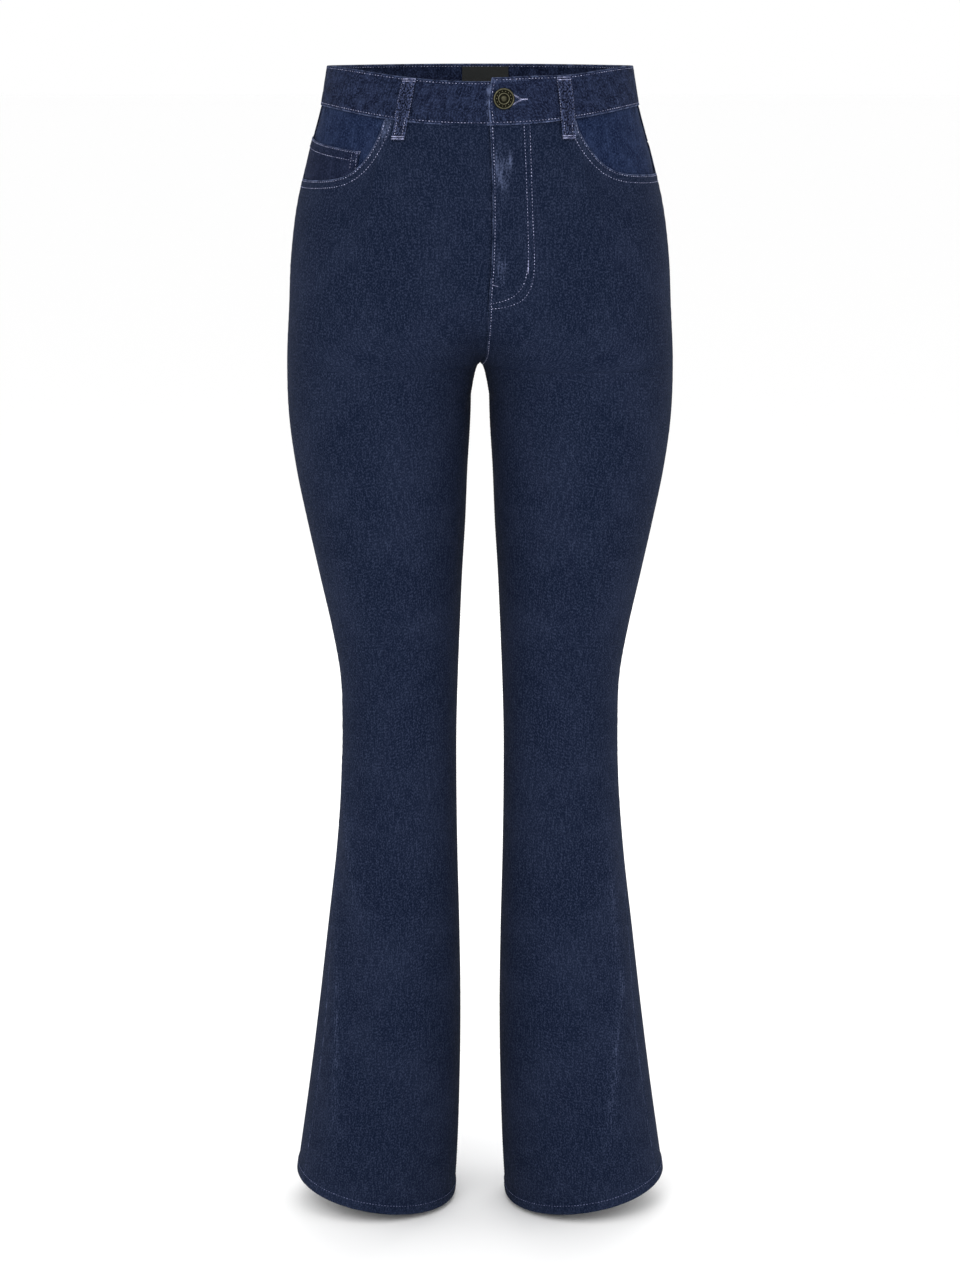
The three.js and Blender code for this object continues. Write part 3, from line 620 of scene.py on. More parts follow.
class Patch:
    """One cut piece of cloth, laid out as columns and rows on the form."""

    # How much painted shade a channel puts into the wear value, darkening the cloth along it
    CHANNEL_PAINTED_SHADE = 0.55
    WORN_EDGE = 1.6
    RIDGE_WEAR = 1.0

    def __init__(self, name: str, side: Array, u: Array, z: Array) -> None:
        """Places the piece's points.

        Args:
            name: The name of the CAD node that the piece stands for.
            side: -1 or 1 for each column and row.
            u: The place round the half of each column and row.
            z: The height of each column and row.
        """
        self.name = name
        self.side, self.u, self.z = np.broadcast_arrays(np.asarray(side, float), u, z)
        self.base = FORM.place(self.side, self.u, self.z)
        self.normal = FORM.outward(self.base)
        # The wear value holds real wear, and also painted light: a painted highlight on fold crests and
        # raised cloth, painted shade in troughs and creases, and later painted shade in channels.
        self.lift, self.wear = FORM.folds(self.side, self.u, self.z)
        self.tree: BVHTree | None = None

    @property
    def points(self) -> Array:
        """The piece's outer points, in millimetres."""
        return self.base + self.normal * self.lift[..., None]

    def edge(self, which: str, first: int = 0, last: int | None = None, raised: bool = False) -> Line:
        """One of the piece's four edges as a line.

        Args:
            which: "start" or "end" for the first or last column, "top" or "bottom" for the rows.
            first: The first point of the edge that is taken.
            last: The point before which it ends, or None for the whole edge.
            raised: Whether it lies as high as the cloth just inside the edge, or else on the bare form.

        Returns:
            The line.
        """
        inside = len(EDGE_STEPS)
        edge, height = {
            "start": (self.base[0], self.normal[0] * self.lift[inside, :, None]),
            "end": (self.base[-1], self.normal[-1] * self.lift[-inside - 1, :, None]),
            "top": (self.base[:, 0], self.normal[:, 0] * self.lift[:, inside, None]),
            "bottom": (self.base[:, -1], self.normal[:, -1] * self.lift[:, -inside - 1, None]),
        }[which]
        return Line((edge + height if raised else edge)[first:last])

    def roll(self, line: Line, radius: float, wear: float = 0.0, seed: int = 0) -> None:
        """Turns the cloth under along a folded edge, and wears the fold.

        Args:
            line: The edge.
            radius: The radius of the turn in millimetres.
            wear: How worn the fold is, from 0 to 1.
            seed: The seed of the wear's unevenness.
        """
        distance, along = line.measure(self.base)
        inside = np.clip(1 - distance / radius, 0.0, 1.0)
        self.lift = self.lift - radius * (1 - np.sqrt(1 - inside * inside))
        if wear:
            patches = 0.62 + 0.38 * Uneven(seed, 7)(along) * Uneven(seed + 1, 23)(along)
            self.wear = np.maximum(self.wear, wear * patches * np.exp(-((distance / self.WORN_EDGE) ** 2)))

    def groove(self, line: Line, depth: float, half: float) -> None:
        """Sinks the cloth in a narrow channel along a line."""
        distance, _ = line.measure(self.base)
        self.lift = self.lift - depth * np.exp(-((distance / half) ** 2))

    def channel(self, line: Line, at: float, depth: float, half: float) -> None:
        """Draws the cloth in along a channel beside a line, and paints shade into it by lowering the wear
        value, which darkens its colour.
        """
        distance, _ = line.measure(self.base)
        row = np.exp(-(((distance - at) / half) ** 2))
        self.lift = self.lift - depth * row
        self.wear = self.wear - np.where(self.wear < 0.2, self.CHANNEL_PAINTED_SHADE * row, 0.0)

    def seen(self, x: float, z: float, lift: float = 0.0) -> Array:
        """The point of the piece at an x and a height of the front, near a height off the form."""
        base = FORM.place(1 if x > 0 else -1, FORM.u_at_x(abs(x), z), z)
        base = base + FORM.outward(base) * lift
        return np.array(self.tree.find_nearest(Vector(base) * MM)[0] / MM)

    def pucker(self, line: Line, height: float, at: float, half: float, spacing: float, seed: int) -> None:
        """Gathers the cloth into uneven little ridges beside a sewn line.

        Args:
            line: The seam or edge.
            height: The height of the ridges.
            at: Their distance from the line.
            half: Half of their length across it.
            spacing: The usual distance from ridge to trough along the line.
            seed: The seed of their unevenness.
        """
        distance, along = line.measure(self.base)
        window = np.exp(-(((distance - at) / half) ** 2))
        wave = Uneven(seed, spacing)(along + 0.35 * distance)
        strength = 0.65 + 0.35 * Uneven(seed + 7, spacing * 5)(along)
        self.lift = self.lift + height * wave * strength * window
        self.wear = np.maximum(self.wear, np.clip(wave, 0, 1) * strength * window * height * self.RIDGE_WEAR)

    def finish(self, line: Line, seam: Seam, worn: int, gathered: int = 0) -> None:
        """Turns an edge under, draws in its channels and gathers its puckers.

        Args:
            line: The edge.
            seam: How it is turned and sewn.
            worn: The seed of its wear.
            gathered: The seed of its puckers.
        """
        self.roll(line, seam.radius, seam.wear, worn)
        for row in seam.rows:
            self.channel(line, *row)
        for pucker in seam.puckers:
            self.pucker(line, *pucker, seed=gathered)

    def measure(self) -> tuple[float, float, float]:
        """The width, length and area of the piece laid flat, in metres and square metres."""
        points = self.points * MM
        widths = np.linalg.norm(np.diff(points, axis=0), axis=-1).sum(0)
        lengths = np.linalg.norm(np.diff(points, axis=1), axis=-1).sum(1)
        across = points[1:, :-1] - points[:-1, :-1]
        down = points[:-1, 1:] - points[:-1, :-1]
        area = np.linalg.norm(np.cross(across, down), axis=-1).sum()
        return float(widths.max()), float(lengths.max()), float(area)

    def cloth_map(self) -> Array:
        """Where each point lies in the flat cloth, in millimetres across and along its warp."""
        points = self.points
        steps = np.linalg.norm(np.diff(points, axis=0), axis=-1)
        across = np.concatenate([np.zeros((1, steps.shape[1])), np.cumsum(steps, axis=0)])
        across = across - across[-1] / 2
        steps = np.linalg.norm(np.diff(points, axis=1), axis=-1)
        down = np.concatenate([np.zeros((steps.shape[0], 1)), np.cumsum(steps, axis=1)], axis=1)
        down = down + (points[:, :1, 2].max() - points[:, :1, 2])
        return np.stack([across, -down], axis=-1)

    def build(self, thickness: float, finish: bpy.types.Material, slot: str, cut: Cut) -> bpy.types.Object:
        """Makes the piece's mesh, gives it its thickness and puts it on its body.

        Args:
            thickness: The wall's thickness in millimetres, inwards.
            finish: The piece's material.
            slot: The record's material slot; not used.
            cut: The size that the piece was cut to; not used.

        Returns:
            The finished object.
        """
        columns, rows = self.z.shape
        bm = bmesh.new()
        bmesh.ops.create_grid(bm, x_segments=columns - 1, y_segments=rows - 1, size=1.0)
        weave = bm.loops.layers.uv.new("cloth")
        wear = bm.verts.layers.float.new("wear")
        points, flat = self.points * MM, self.cloth_map()
        spots = {}
        for vert in bm.verts:
            i = round((vert.co.x + 1) / 2 * (columns - 1))
            j = round((1 - vert.co.y) / 2 * (rows - 1))
            spots[vert] = (i, j)
            vert[wear] = float(self.wear[i, j])
            vert.co = points[i, j]
        for face in bm.faces:
            face.smooth = True
            for loop in face.loops:
                loop[weave].uv = flat[spots[loop.vert]]
        bm.normal_update()
        middle = max(bm.faces, key=lambda face: face.calc_area())
        spot = spots[middle.verts[0]]
        if middle.normal.dot(Vector(self.normal[spot])) < 0:
            bmesh.ops.reverse_faces(bm, faces=bm.faces)
            bm.normal_update()
        self.tree = BVHTree.FromBMesh(bm)
        piece = link_mesh(f"{self.name}_cloth", bm)
        wall = piece.modifiers.new("wall", "SOLIDIFY")
        wall.thickness = thickness * MM
        wall.offset = -1.0
        wall.use_even_offset = False
        settle(piece, finish, slot, self.name)
        LOG.info("%s measures %.3f by %.3f m, %.4f square metres", piece.name, *self.measure())
        return piece


def link(name: str, data: bpy.types.ID) -> bpy.types.Object:
    """Puts a mesh, light or camera in the scene."""
    piece = bpy.data.objects.new(name, data)
    bpy.context.scene.collection.objects.link(piece)
    return piece


def link_mesh(name: str, bm: bmesh.types.BMesh) -> bpy.types.Object:
    """Puts what a bmesh holds in the scene, and frees the bmesh."""
    mesh = bpy.data.meshes.new(name)
    bm.to_mesh(mesh)
    bm.free()
    return link(name, mesh)


def settle(piece: bpy.types.Object, finish: bpy.types.Material, slot: str, *nodes: str) -> None:
    """Gives a piece its finish and its body, hides the CAD nodes that it stands for, and reports it."""
    piece.data.materials.clear()
    piece.data.materials.append(finish)
    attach(piece, BODY)
    if nodes:
        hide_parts(*nodes)
    LOG.info("%s: %d faces", piece.name, len(piece.data.polygons))


class Value:
    """A node's socket that takes part in Python arithmetic."""

    def __init__(self, shade: "Shade", socket: bpy.types.NodeSocket) -> None:
        """Wraps a socket of one material."""
        self.shade = shade
        self.socket = socket

    def __add__(self, other: "Value | float") -> "Value":
        """This plus the other."""
        return self.shade.math("ADD", self, other)

    __radd__ = __add__

    def __sub__(self, other: "Value | float") -> "Value":
        """This less the other."""
        return self.shade.math("SUBTRACT", self, other)

    def __rsub__(self, other: float) -> "Value":
        """The other less this."""
        return self.shade.math("SUBTRACT", other, self)

    def __mul__(self, other: "Value | float") -> "Value":
        """This times the other."""
        return self.shade.math("MULTIPLY", self, other)

    __rmul__ = __mul__


Input = Value | float | tuple[float, ...]
Colour = tuple[float, float, float]


def linear(colour: Colour) -> tuple[float, float, float, float]:
    """A colour of 0 to 255, as seen on a screen, as Blender's linear colour."""
    parts = [value / 255 for value in colour]
    return (*((p / 12.92 if p <= 0.04045 else ((p + 0.055) / 1.055) ** 2.4) for p in parts), 1.0)


class Shade:
    """A material's nodes, each added in one way."""

    def __init__(self, name: str) -> None:
        """Starts an empty material."""
        self.material = bpy.data.materials.new(name)
        self.material.use_nodes = True
        self.tree = self.material.node_tree
        self.tree.nodes.clear()

    def node(self, kind: str, settings: dict | None = None, sockets: dict | None = None) -> bpy.types.Node:
        """Adds a node.

        Args:
            kind: The node's type.
            settings: Its properties, set first.
            sockets: Values or links of its inputs, by name or number.

        Returns:
            The node.
        """
        made = self.tree.nodes.new(kind)
        for name, value in (settings or {}).items():
            setattr(made, name, value)
        for name, value in (sockets or {}).items():
            if isinstance(value, Value):
                self.tree.links.new(value.socket, made.inputs[name])
            else:
                made.inputs[name].default_value = value
        return made

    def math(self, operation: str, *values: Input) -> Value:
        """A Math node's result."""
        made = self.node("ShaderNodeMath", {"operation": operation}, dict(enumerate(values)))
        return Value(self, made.outputs[0])

    def stretch(self, vector: Value, scale: tuple[float, float, float]) -> Value:
        """A vector with each of its parts scaled."""
        made = self.node("ShaderNodeVectorMath", {"operation": "MULTIPLY"}, {0: vector, 1: scale})
        return Value(self, made.outputs[0])

    def noise(self, vector: Value, detail: float = 2.0, roughness: float = 0.5) -> Value:
        """A noise of about one swell to a unit of the vector, from 0 to 1."""
        made = self.node(
            "ShaderNodeTexNoise", None,
            {"Vector": vector, "Scale": 1.0, "Detail": detail, "Roughness": roughness},
        )
        return Value(self, made.outputs[0])

    def rise(self, value: Value, low: Input, high: Input) -> Value:
        """A smooth step from 0 to 1 as the value goes from low to high."""
        made = self.node(
            "ShaderNodeMapRange", {"interpolation_type": "SMOOTHSTEP"},
            {"Value": value, "From Min": low, "From Max": high},
        )
        return Value(self, made.outputs[0])

    def blend(self, factor: Input, a: Input, b: Input) -> Value:
        """A colour between two colours."""
        made = self.node("ShaderNodeMix", {"data_type": "RGBA"}, {0: factor, 6: a, 7: b})
        return Value(self, made.outputs[2])

    def attribute(self, name: str) -> Value:
        """A number that the mesh holds at its points."""
        made = self.node("ShaderNodeAttribute", {"attribute_name": name})
        return Value(self, made.outputs["Fac"])

    def finish(self, sockets: dict) -> bpy.types.Material:
        """Adds the surface's shader with these inputs, and gives the material."""
        shader = self.node("ShaderNodeBsdfPrincipled", None, sockets)
        self.node("ShaderNodeOutputMaterial", None, {"Surface": Value(self, shader.outputs[0])})
        return self.material


@dataclass(frozen=True)
class DenimFinish:
    """Dark rinsed stretch denim: its dye, its light flecks, and its worn places together with the painted
    highlight and painted shade that the wear value carries.
    """

    name: str
    dye: Colour
    fleck: Colour
    flecks: float = 0.5
    mottle: float = 0.1
    mottle_mm: float = 30.0

    WEAVE_MM = 1.25
    FLECK_MM = (1.3, 1.9)
    SLUBS_PER_MM = (0.55, 0.07)
    FLECK_RANGE = (0.42, 0.72)
    MOTTLE_RANGE = (0.4, 0.68)
    WORN_RANGE = (0.36, 0.95)
    WORN_SHARE = 0.8
    # Colour of worn places, also reached by the painted highlight on fold crests
    WORN: Colour = (112, 124, 160)

    def make(self) -> bpy.types.Material:
        """The material, with its pattern on the flat cloth's own map."""
        shade = Shade(self.name)
        cloth = Value(shade, shade.node("ShaderNodeUVMap", {"uv_map": "cloth"}).outputs[0])
        # The wear value lightens the cloth: real wear, painted highlight on fold crests, and painted shade
        # where it is lowered in troughs and channels.
        wear = shade.attribute("wear")
        fine = shade.noise(shade.stretch(cloth, (1 / self.FLECK_MM[0], 1 / self.FLECK_MM[1], 1)), 2.0, 0.6)
        slub = shade.noise(shade.stretch(cloth, (*self.SLUBS_PER_MM, 1)), 1.0)
        broad = shade.noise(shade.stretch(cloth, (1 / self.mottle_mm, 1 / self.mottle_mm, 1)), 3.0, 0.55)
        threads = shade.node("ShaderNodeSeparateXYZ", None, {0: cloth})
        run = Value(shade, threads.outputs[0]) + Value(shade, threads.outputs[1])
        twill = shade.math("SINE", run * (2 * math.pi / self.WEAVE_MM))
        lightness = fine + 0.3 * (slub - 0.5) + 0.02 * twill + 0.2 * wear
        flecks = shade.rise(lightness, *self.FLECK_RANGE) * self.flecks
        patches = shade.rise(broad, *self.MOTTLE_RANGE) * self.mottle
        dyed = shade.blend(patches, linear(self.dye), linear(self.fleck))
        flecked = shade.blend(flecks, dyed, linear(self.fleck))
        # Worn places and painted highlights blend towards the light worn colour
        worn = shade.rise(wear * 0.8 + 0.4 * fine + 0.35 * (slub - 0.5), *self.WORN_RANGE)
        colour = shade.blend(worn * self.WORN_SHARE, flecked, linear(self.WORN))
        height = 0.5 * twill + 1.6 * fine + 0.8 * slub
        bump = shade.node("ShaderNodeBump", None, {"Strength": 0.6, "Distance": 0.2 * MM, "Height": height})
        return shade.finish({
            "Base Color": colour,
            "Roughness": 0.9 - 0.06 * flecks,
            "Specular IOR Level": 0.035,
            "Sheen Weight": 0.005,
            "Sheen Roughness": 0.5,
            "Normal": Value(shade, bump.outputs[0]),
        })


@dataclass(frozen=True)
class ThreadFinish:
    """Twisted sewing thread, a little brighter where it catches the light."""

    name: str
    dye: Colour
    light: Colour

    DRIFTS_PER_M = 300

    def make(self) -> bpy.types.Material:
        """The material, with its shade drifting along the garment."""
        shade = Shade(self.name)
        place = Value(shade, shade.node("ShaderNodeTexCoord").outputs["Object"])
        drift = shade.noise(shade.stretch(place, (self.DRIFTS_PER_M,) * 3), 2.0)
        colour = shade.blend(shade.rise(drift, 0.35, 0.7), linear(self.dye), linear(self.light))
        return shade.finish({"Base Color": colour, "Roughness": 0.62, "Specular IOR Level": 0.35})


@dataclass(frozen=True)
class BrassFinish:
    """Old brass, dark in its grooves and rubbed bright on its rings."""

    name: str
    dark: Colour
    rubbed: Colour

    TARNISH_PER_M = 420

    def make(self) -> bpy.types.Material:
        """The material, whose rubbed places follow the button's wear."""
        shade = Shade(self.name)
        place = Value(shade, shade.node("ShaderNodeTexCoord").outputs["Object"])
        wear = shade.attribute("wear")
        tarnish = shade.noise(shade.stretch(place, (self.TARNISH_PER_M,) * 3), 3.0, 0.6)
        rubbed = shade.rise(wear + 0.5 * (tarnish - 0.5), 0.15, 0.95)
        bump = shade.node("ShaderNodeBump", None, {"Strength": 0.3, "Distance": 0.1 * MM, "Height": tarnish})
        return shade.finish({
            "Base Color": shade.blend(rubbed, linear(self.dark), linear(self.rubbed)),
            "Metallic": 1.0,
            "Roughness": 0.52 - 0.2 * rubbed,
            "Normal": Value(shade, bump.outputs[0]),
        })


@dataclass(frozen=True)
class TapeFinish:
    """Plain woven label tape."""

    name: str
    dye: Colour
    light: Colour

    RIB_MM = 0.7

    def make(self) -> bpy.types.Material:
        """The material, with fine cross ribs."""
        shade = Shade(self.name)
        cloth = Value(shade, shade.node("ShaderNodeUVMap", {"uv_map": "cloth"}).outputs[0])
        threads = shade.node("ShaderNodeSeparateXYZ", None, {0: cloth})
        ribs = shade.math("SINE", Value(shade, threads.outputs[1]) * (2 * math.pi / self.RIB_MM))
        grain = shade.noise(shade.stretch(cloth, (2, 1.2, 1)), 2.0)
        bump = shade.node(
            "ShaderNodeBump", None, {"Strength": 0.5, "Distance": 0.1 * MM, "Height": 0.5 * ribs + grain},
        )
        return shade.finish({
            "Base Color": shade.blend(grain, linear(self.dye), linear(self.light)),
            "Roughness": 0.7,
            "Specular IOR Level": 0.3,
            "Normal": Value(shade, bump.outputs[0]),
        })


@dataclass
class Finishes:
    """All the garment's materials."""

    denim: bpy.types.Material = field(
        default_factory=DenimFinish("dark_denim", (13, 22, 41), (76, 86, 115), 0.28, 0.05, 60).make)
    band: bpy.types.Material = field(
        default_factory=DenimFinish("band_denim", (12, 18, 36), (80, 94, 134), 0.25, 0.1, 9).make)
    facing: bpy.types.Material = field(
        default_factory=DenimFinish("facing_denim", (14, 24, 48), (68, 84, 122), 0.3, 0.14, 14).make)
    coin: bpy.types.Material = field(
        default_factory=DenimFinish("coin_denim", (13, 20, 39), (64, 72, 102), 0.3, 0.12, 14).make)
    loop: bpy.types.Material = field(
        default_factory=DenimFinish("loop_denim", (7, 11, 25), (112, 126, 174), 0.33, 0.02, 9).make)
    thread: bpy.types.Material = field(
        default_factory=ThreadFinish("pale_thread", (72, 77, 108), (178, 182, 216)).make)
    dark_thread: bpy.types.Material = field(
        default_factory=ThreadFinish("navy_thread", (52, 59, 90), (112, 120, 158)).make)
    brass: bpy.types.Material = field(
        default_factory=BrassFinish("old_brass", (24, 23, 17), (96, 94, 76)).make)
    tape: bpy.types.Material = field(
        default_factory=TapeFinish("black_tape", (14, 15, 15), (34, 37, 37)).make)


@dataclass(frozen=True)
class Stitch:
    """The size of a stitch of topstitching, in millimetres."""

    length: float = 1.6
    gap: float = 1.3
    width: float = 0.68
    height: float = 0.46


class Sewing:
    """Rows of stitches and bartacks, joined in one piece."""

    IN_HAND = 600
    STANDS_PROUD = 0.2
    BAR_STEP = 0.42
    BAR_LEAN = 0.12
    BAR_WIDTH = 0.5
    BAR_HEIGHT = 0.7

    def __init__(self, name: str) -> None:
        """Starts an empty piece of sewing, with a bmesh for the row in hand and one for the whole."""
        self.name = name
        self.bm = bmesh.new()
        self.whole = bmesh.new()

    def keep(self) -> None:
        """Adds the row in hand to the whole, and starts the next one."""
        mesh = bpy.data.meshes.new("row")
        self.bm.to_mesh(mesh)
        self.whole.from_mesh(mesh)
        bpy.data.meshes.remove(mesh)
        self.bm.clear()

    def thread(self, point: Vector, along: Vector, normal: Vector, stitch: Stitch) -> None:
        """Lays one stitch on the cloth.

        Args:
            point: Its middle, on the cloth, in metres.
            along: The direction of its length.
            normal: The way out of the cloth.
            stitch: Its size.
        """
        out = (normal - along * normal.dot(along)).normalized()
        across = out.cross(along)
        turn = Matrix((across, out, along)).transposed().to_4x4()
        size = Matrix.Diagonal((stitch.width / 2 * MM, stitch.height / 2 * MM, stitch.length / 2 * MM, 1.0))
        place = Matrix.Translation(point + out * stitch.height * self.STANDS_PROUD * MM)
        bmesh.ops.create_uvsphere(self.bm, u_segments=6, v_segments=4, radius=1.0, matrix=place @ turn @ size)
        if len(self.bm.verts) > self.IN_HAND:
            self.keep()

    def row(self, patch: Patch, line: Line, stitch: Stitch = Stitch(), wall: float = 0.0) -> None:
        """Sews a row of stitches along a line on a piece.

        Args:
            patch: The piece that is sewn.
            line: The row's line.
            stitch: The size of its stitches.
            wall: The wall's thickness where the row lies on the inside, or 0 for the outside.
        """
        pitch = stitch.length + stitch.gap
        for at in np.arange(pitch / 2, line.length - stitch.length / 2, pitch):
            point, ahead = (
                Vector([np.interp(where, line.along, line.points[:, k]) for k in range(3)]) * MM
                for where in (at, min(at + 0.5, line.length))
            )
            spot, normal, _, _ = patch.tree.find_nearest(point)
            along = (ahead - point).normalized()
            if wall:
                spot, normal = spot - normal * wall * MM, -normal
            if along.length > 0.5:
                self.thread(spot, along, normal, stitch)
        self.keep()

    def rows(self, patch: Patch, line: Line, distances: Iterable[float], stitch: Stitch = Stitch()) -> None:
        """Sews a row at each distance beside an edge."""
        for distance in distances:
            self.row(patch, beside(patch, line, distance), stitch)

    def bar(self, patch: Patch, start: Vector, end: Vector, width: float) -> None:
        """Sews a bartack of dense threads across a line.

        Args:
            patch: The piece that is sewn.
            start: One end of the bar in millimetres.
            end: The other end.
            width: The length of the threads across the bar.
        """
        stitch = Stitch(width, 0.0, self.BAR_WIDTH, self.BAR_HEIGHT)
        run = end - start
        for k in range(int(run.length / self.BAR_STEP) + 1):
            at = start + run * (k * self.BAR_STEP / run.length)
            spot, normal, _, _ = patch.tree.find_nearest(at * MM)
            across = normal.cross(run).normalized()
            lean = (across + run.normalized() * (self.BAR_LEAN if k % 2 else -self.BAR_LEAN)).normalized()
            self.thread(spot, lean, normal, stitch)
        self.keep()

    def build(self, finish: bpy.types.Material, slot: str = "denim") -> bpy.types.Object:
        """Makes the sewing one object."""
        for face in self.whole.faces:
            face.smooth = True
        piece = link_mesh(self.name, self.whole)
        self.bm.free()
        settle(piece, finish, slot)
        return piece


def beside(patch: Patch, line: Line, distance: float) -> Line:
    """The line on a piece that runs beside one of its edges.

    Args:
        patch: The piece.
        line: The edge.
        distance: How far inside the edge the new line runs, in millimetres.

    Returns:
        The new line, on the piece's outer face.
    """
    points = line.points[::2]
    along = np.gradient(points, axis=0)
    across = np.cross(FORM.outward(points), along)
    across /= np.maximum(np.linalg.norm(across, axis=1, keepdims=True), 1e-9)

    def moved(sign: int) -> tuple[float, Array]:
        """How far the moved line lies off the piece, and its nearest points on it."""
        found = [patch.tree.find_nearest(Vector(point) * MM) for point in points + sign * distance * across]
        return sum(away for *_, away in found), np.array([spot / MM for spot, *_ in found])

    return Line(min((moved(1), moved(-1)), key=lambda pair: pair[0])[1])


def filled(knots: Sequence[float], step: float) -> Array:
    """Heights from knot to knot, each knot included, no further apart than a step."""
    runs = [np.linspace(a, b, math.ceil(abs(b - a) / step) + 1)[:-1] for a, b in zip(knots[:-1], knots[1:])]
    return np.concatenate([*runs, [knots[-1]]])


# Where the rows of the leg panels lie level, close together just under the crotch
LEG_TOP_Z = -150.0
LEG_KNOTS = (
    LEG_TOP_Z, -236, -246, -249.5, CROTCH_Z, -251.4, -252.2, -253.5, -255.5, -258.5, -262.5, -268, -275, -284,
    -1000,
)


@dataclass
class Tailor:
    """The thicknesses of the cloth, in millimetres, and how close its rows lie."""

    panel_wall: float = 1.4
    band_wall: float = 2.4
    band_proud: float = 0.6
    facing_wall: float = 1.1
    label_wall: float = 0.8
    column_step: float = 3.6
    row_step: float = 3.8
    tuck: float = 2.0
    waist_sink: float = 0.5
    waist_reach: float = 3.5


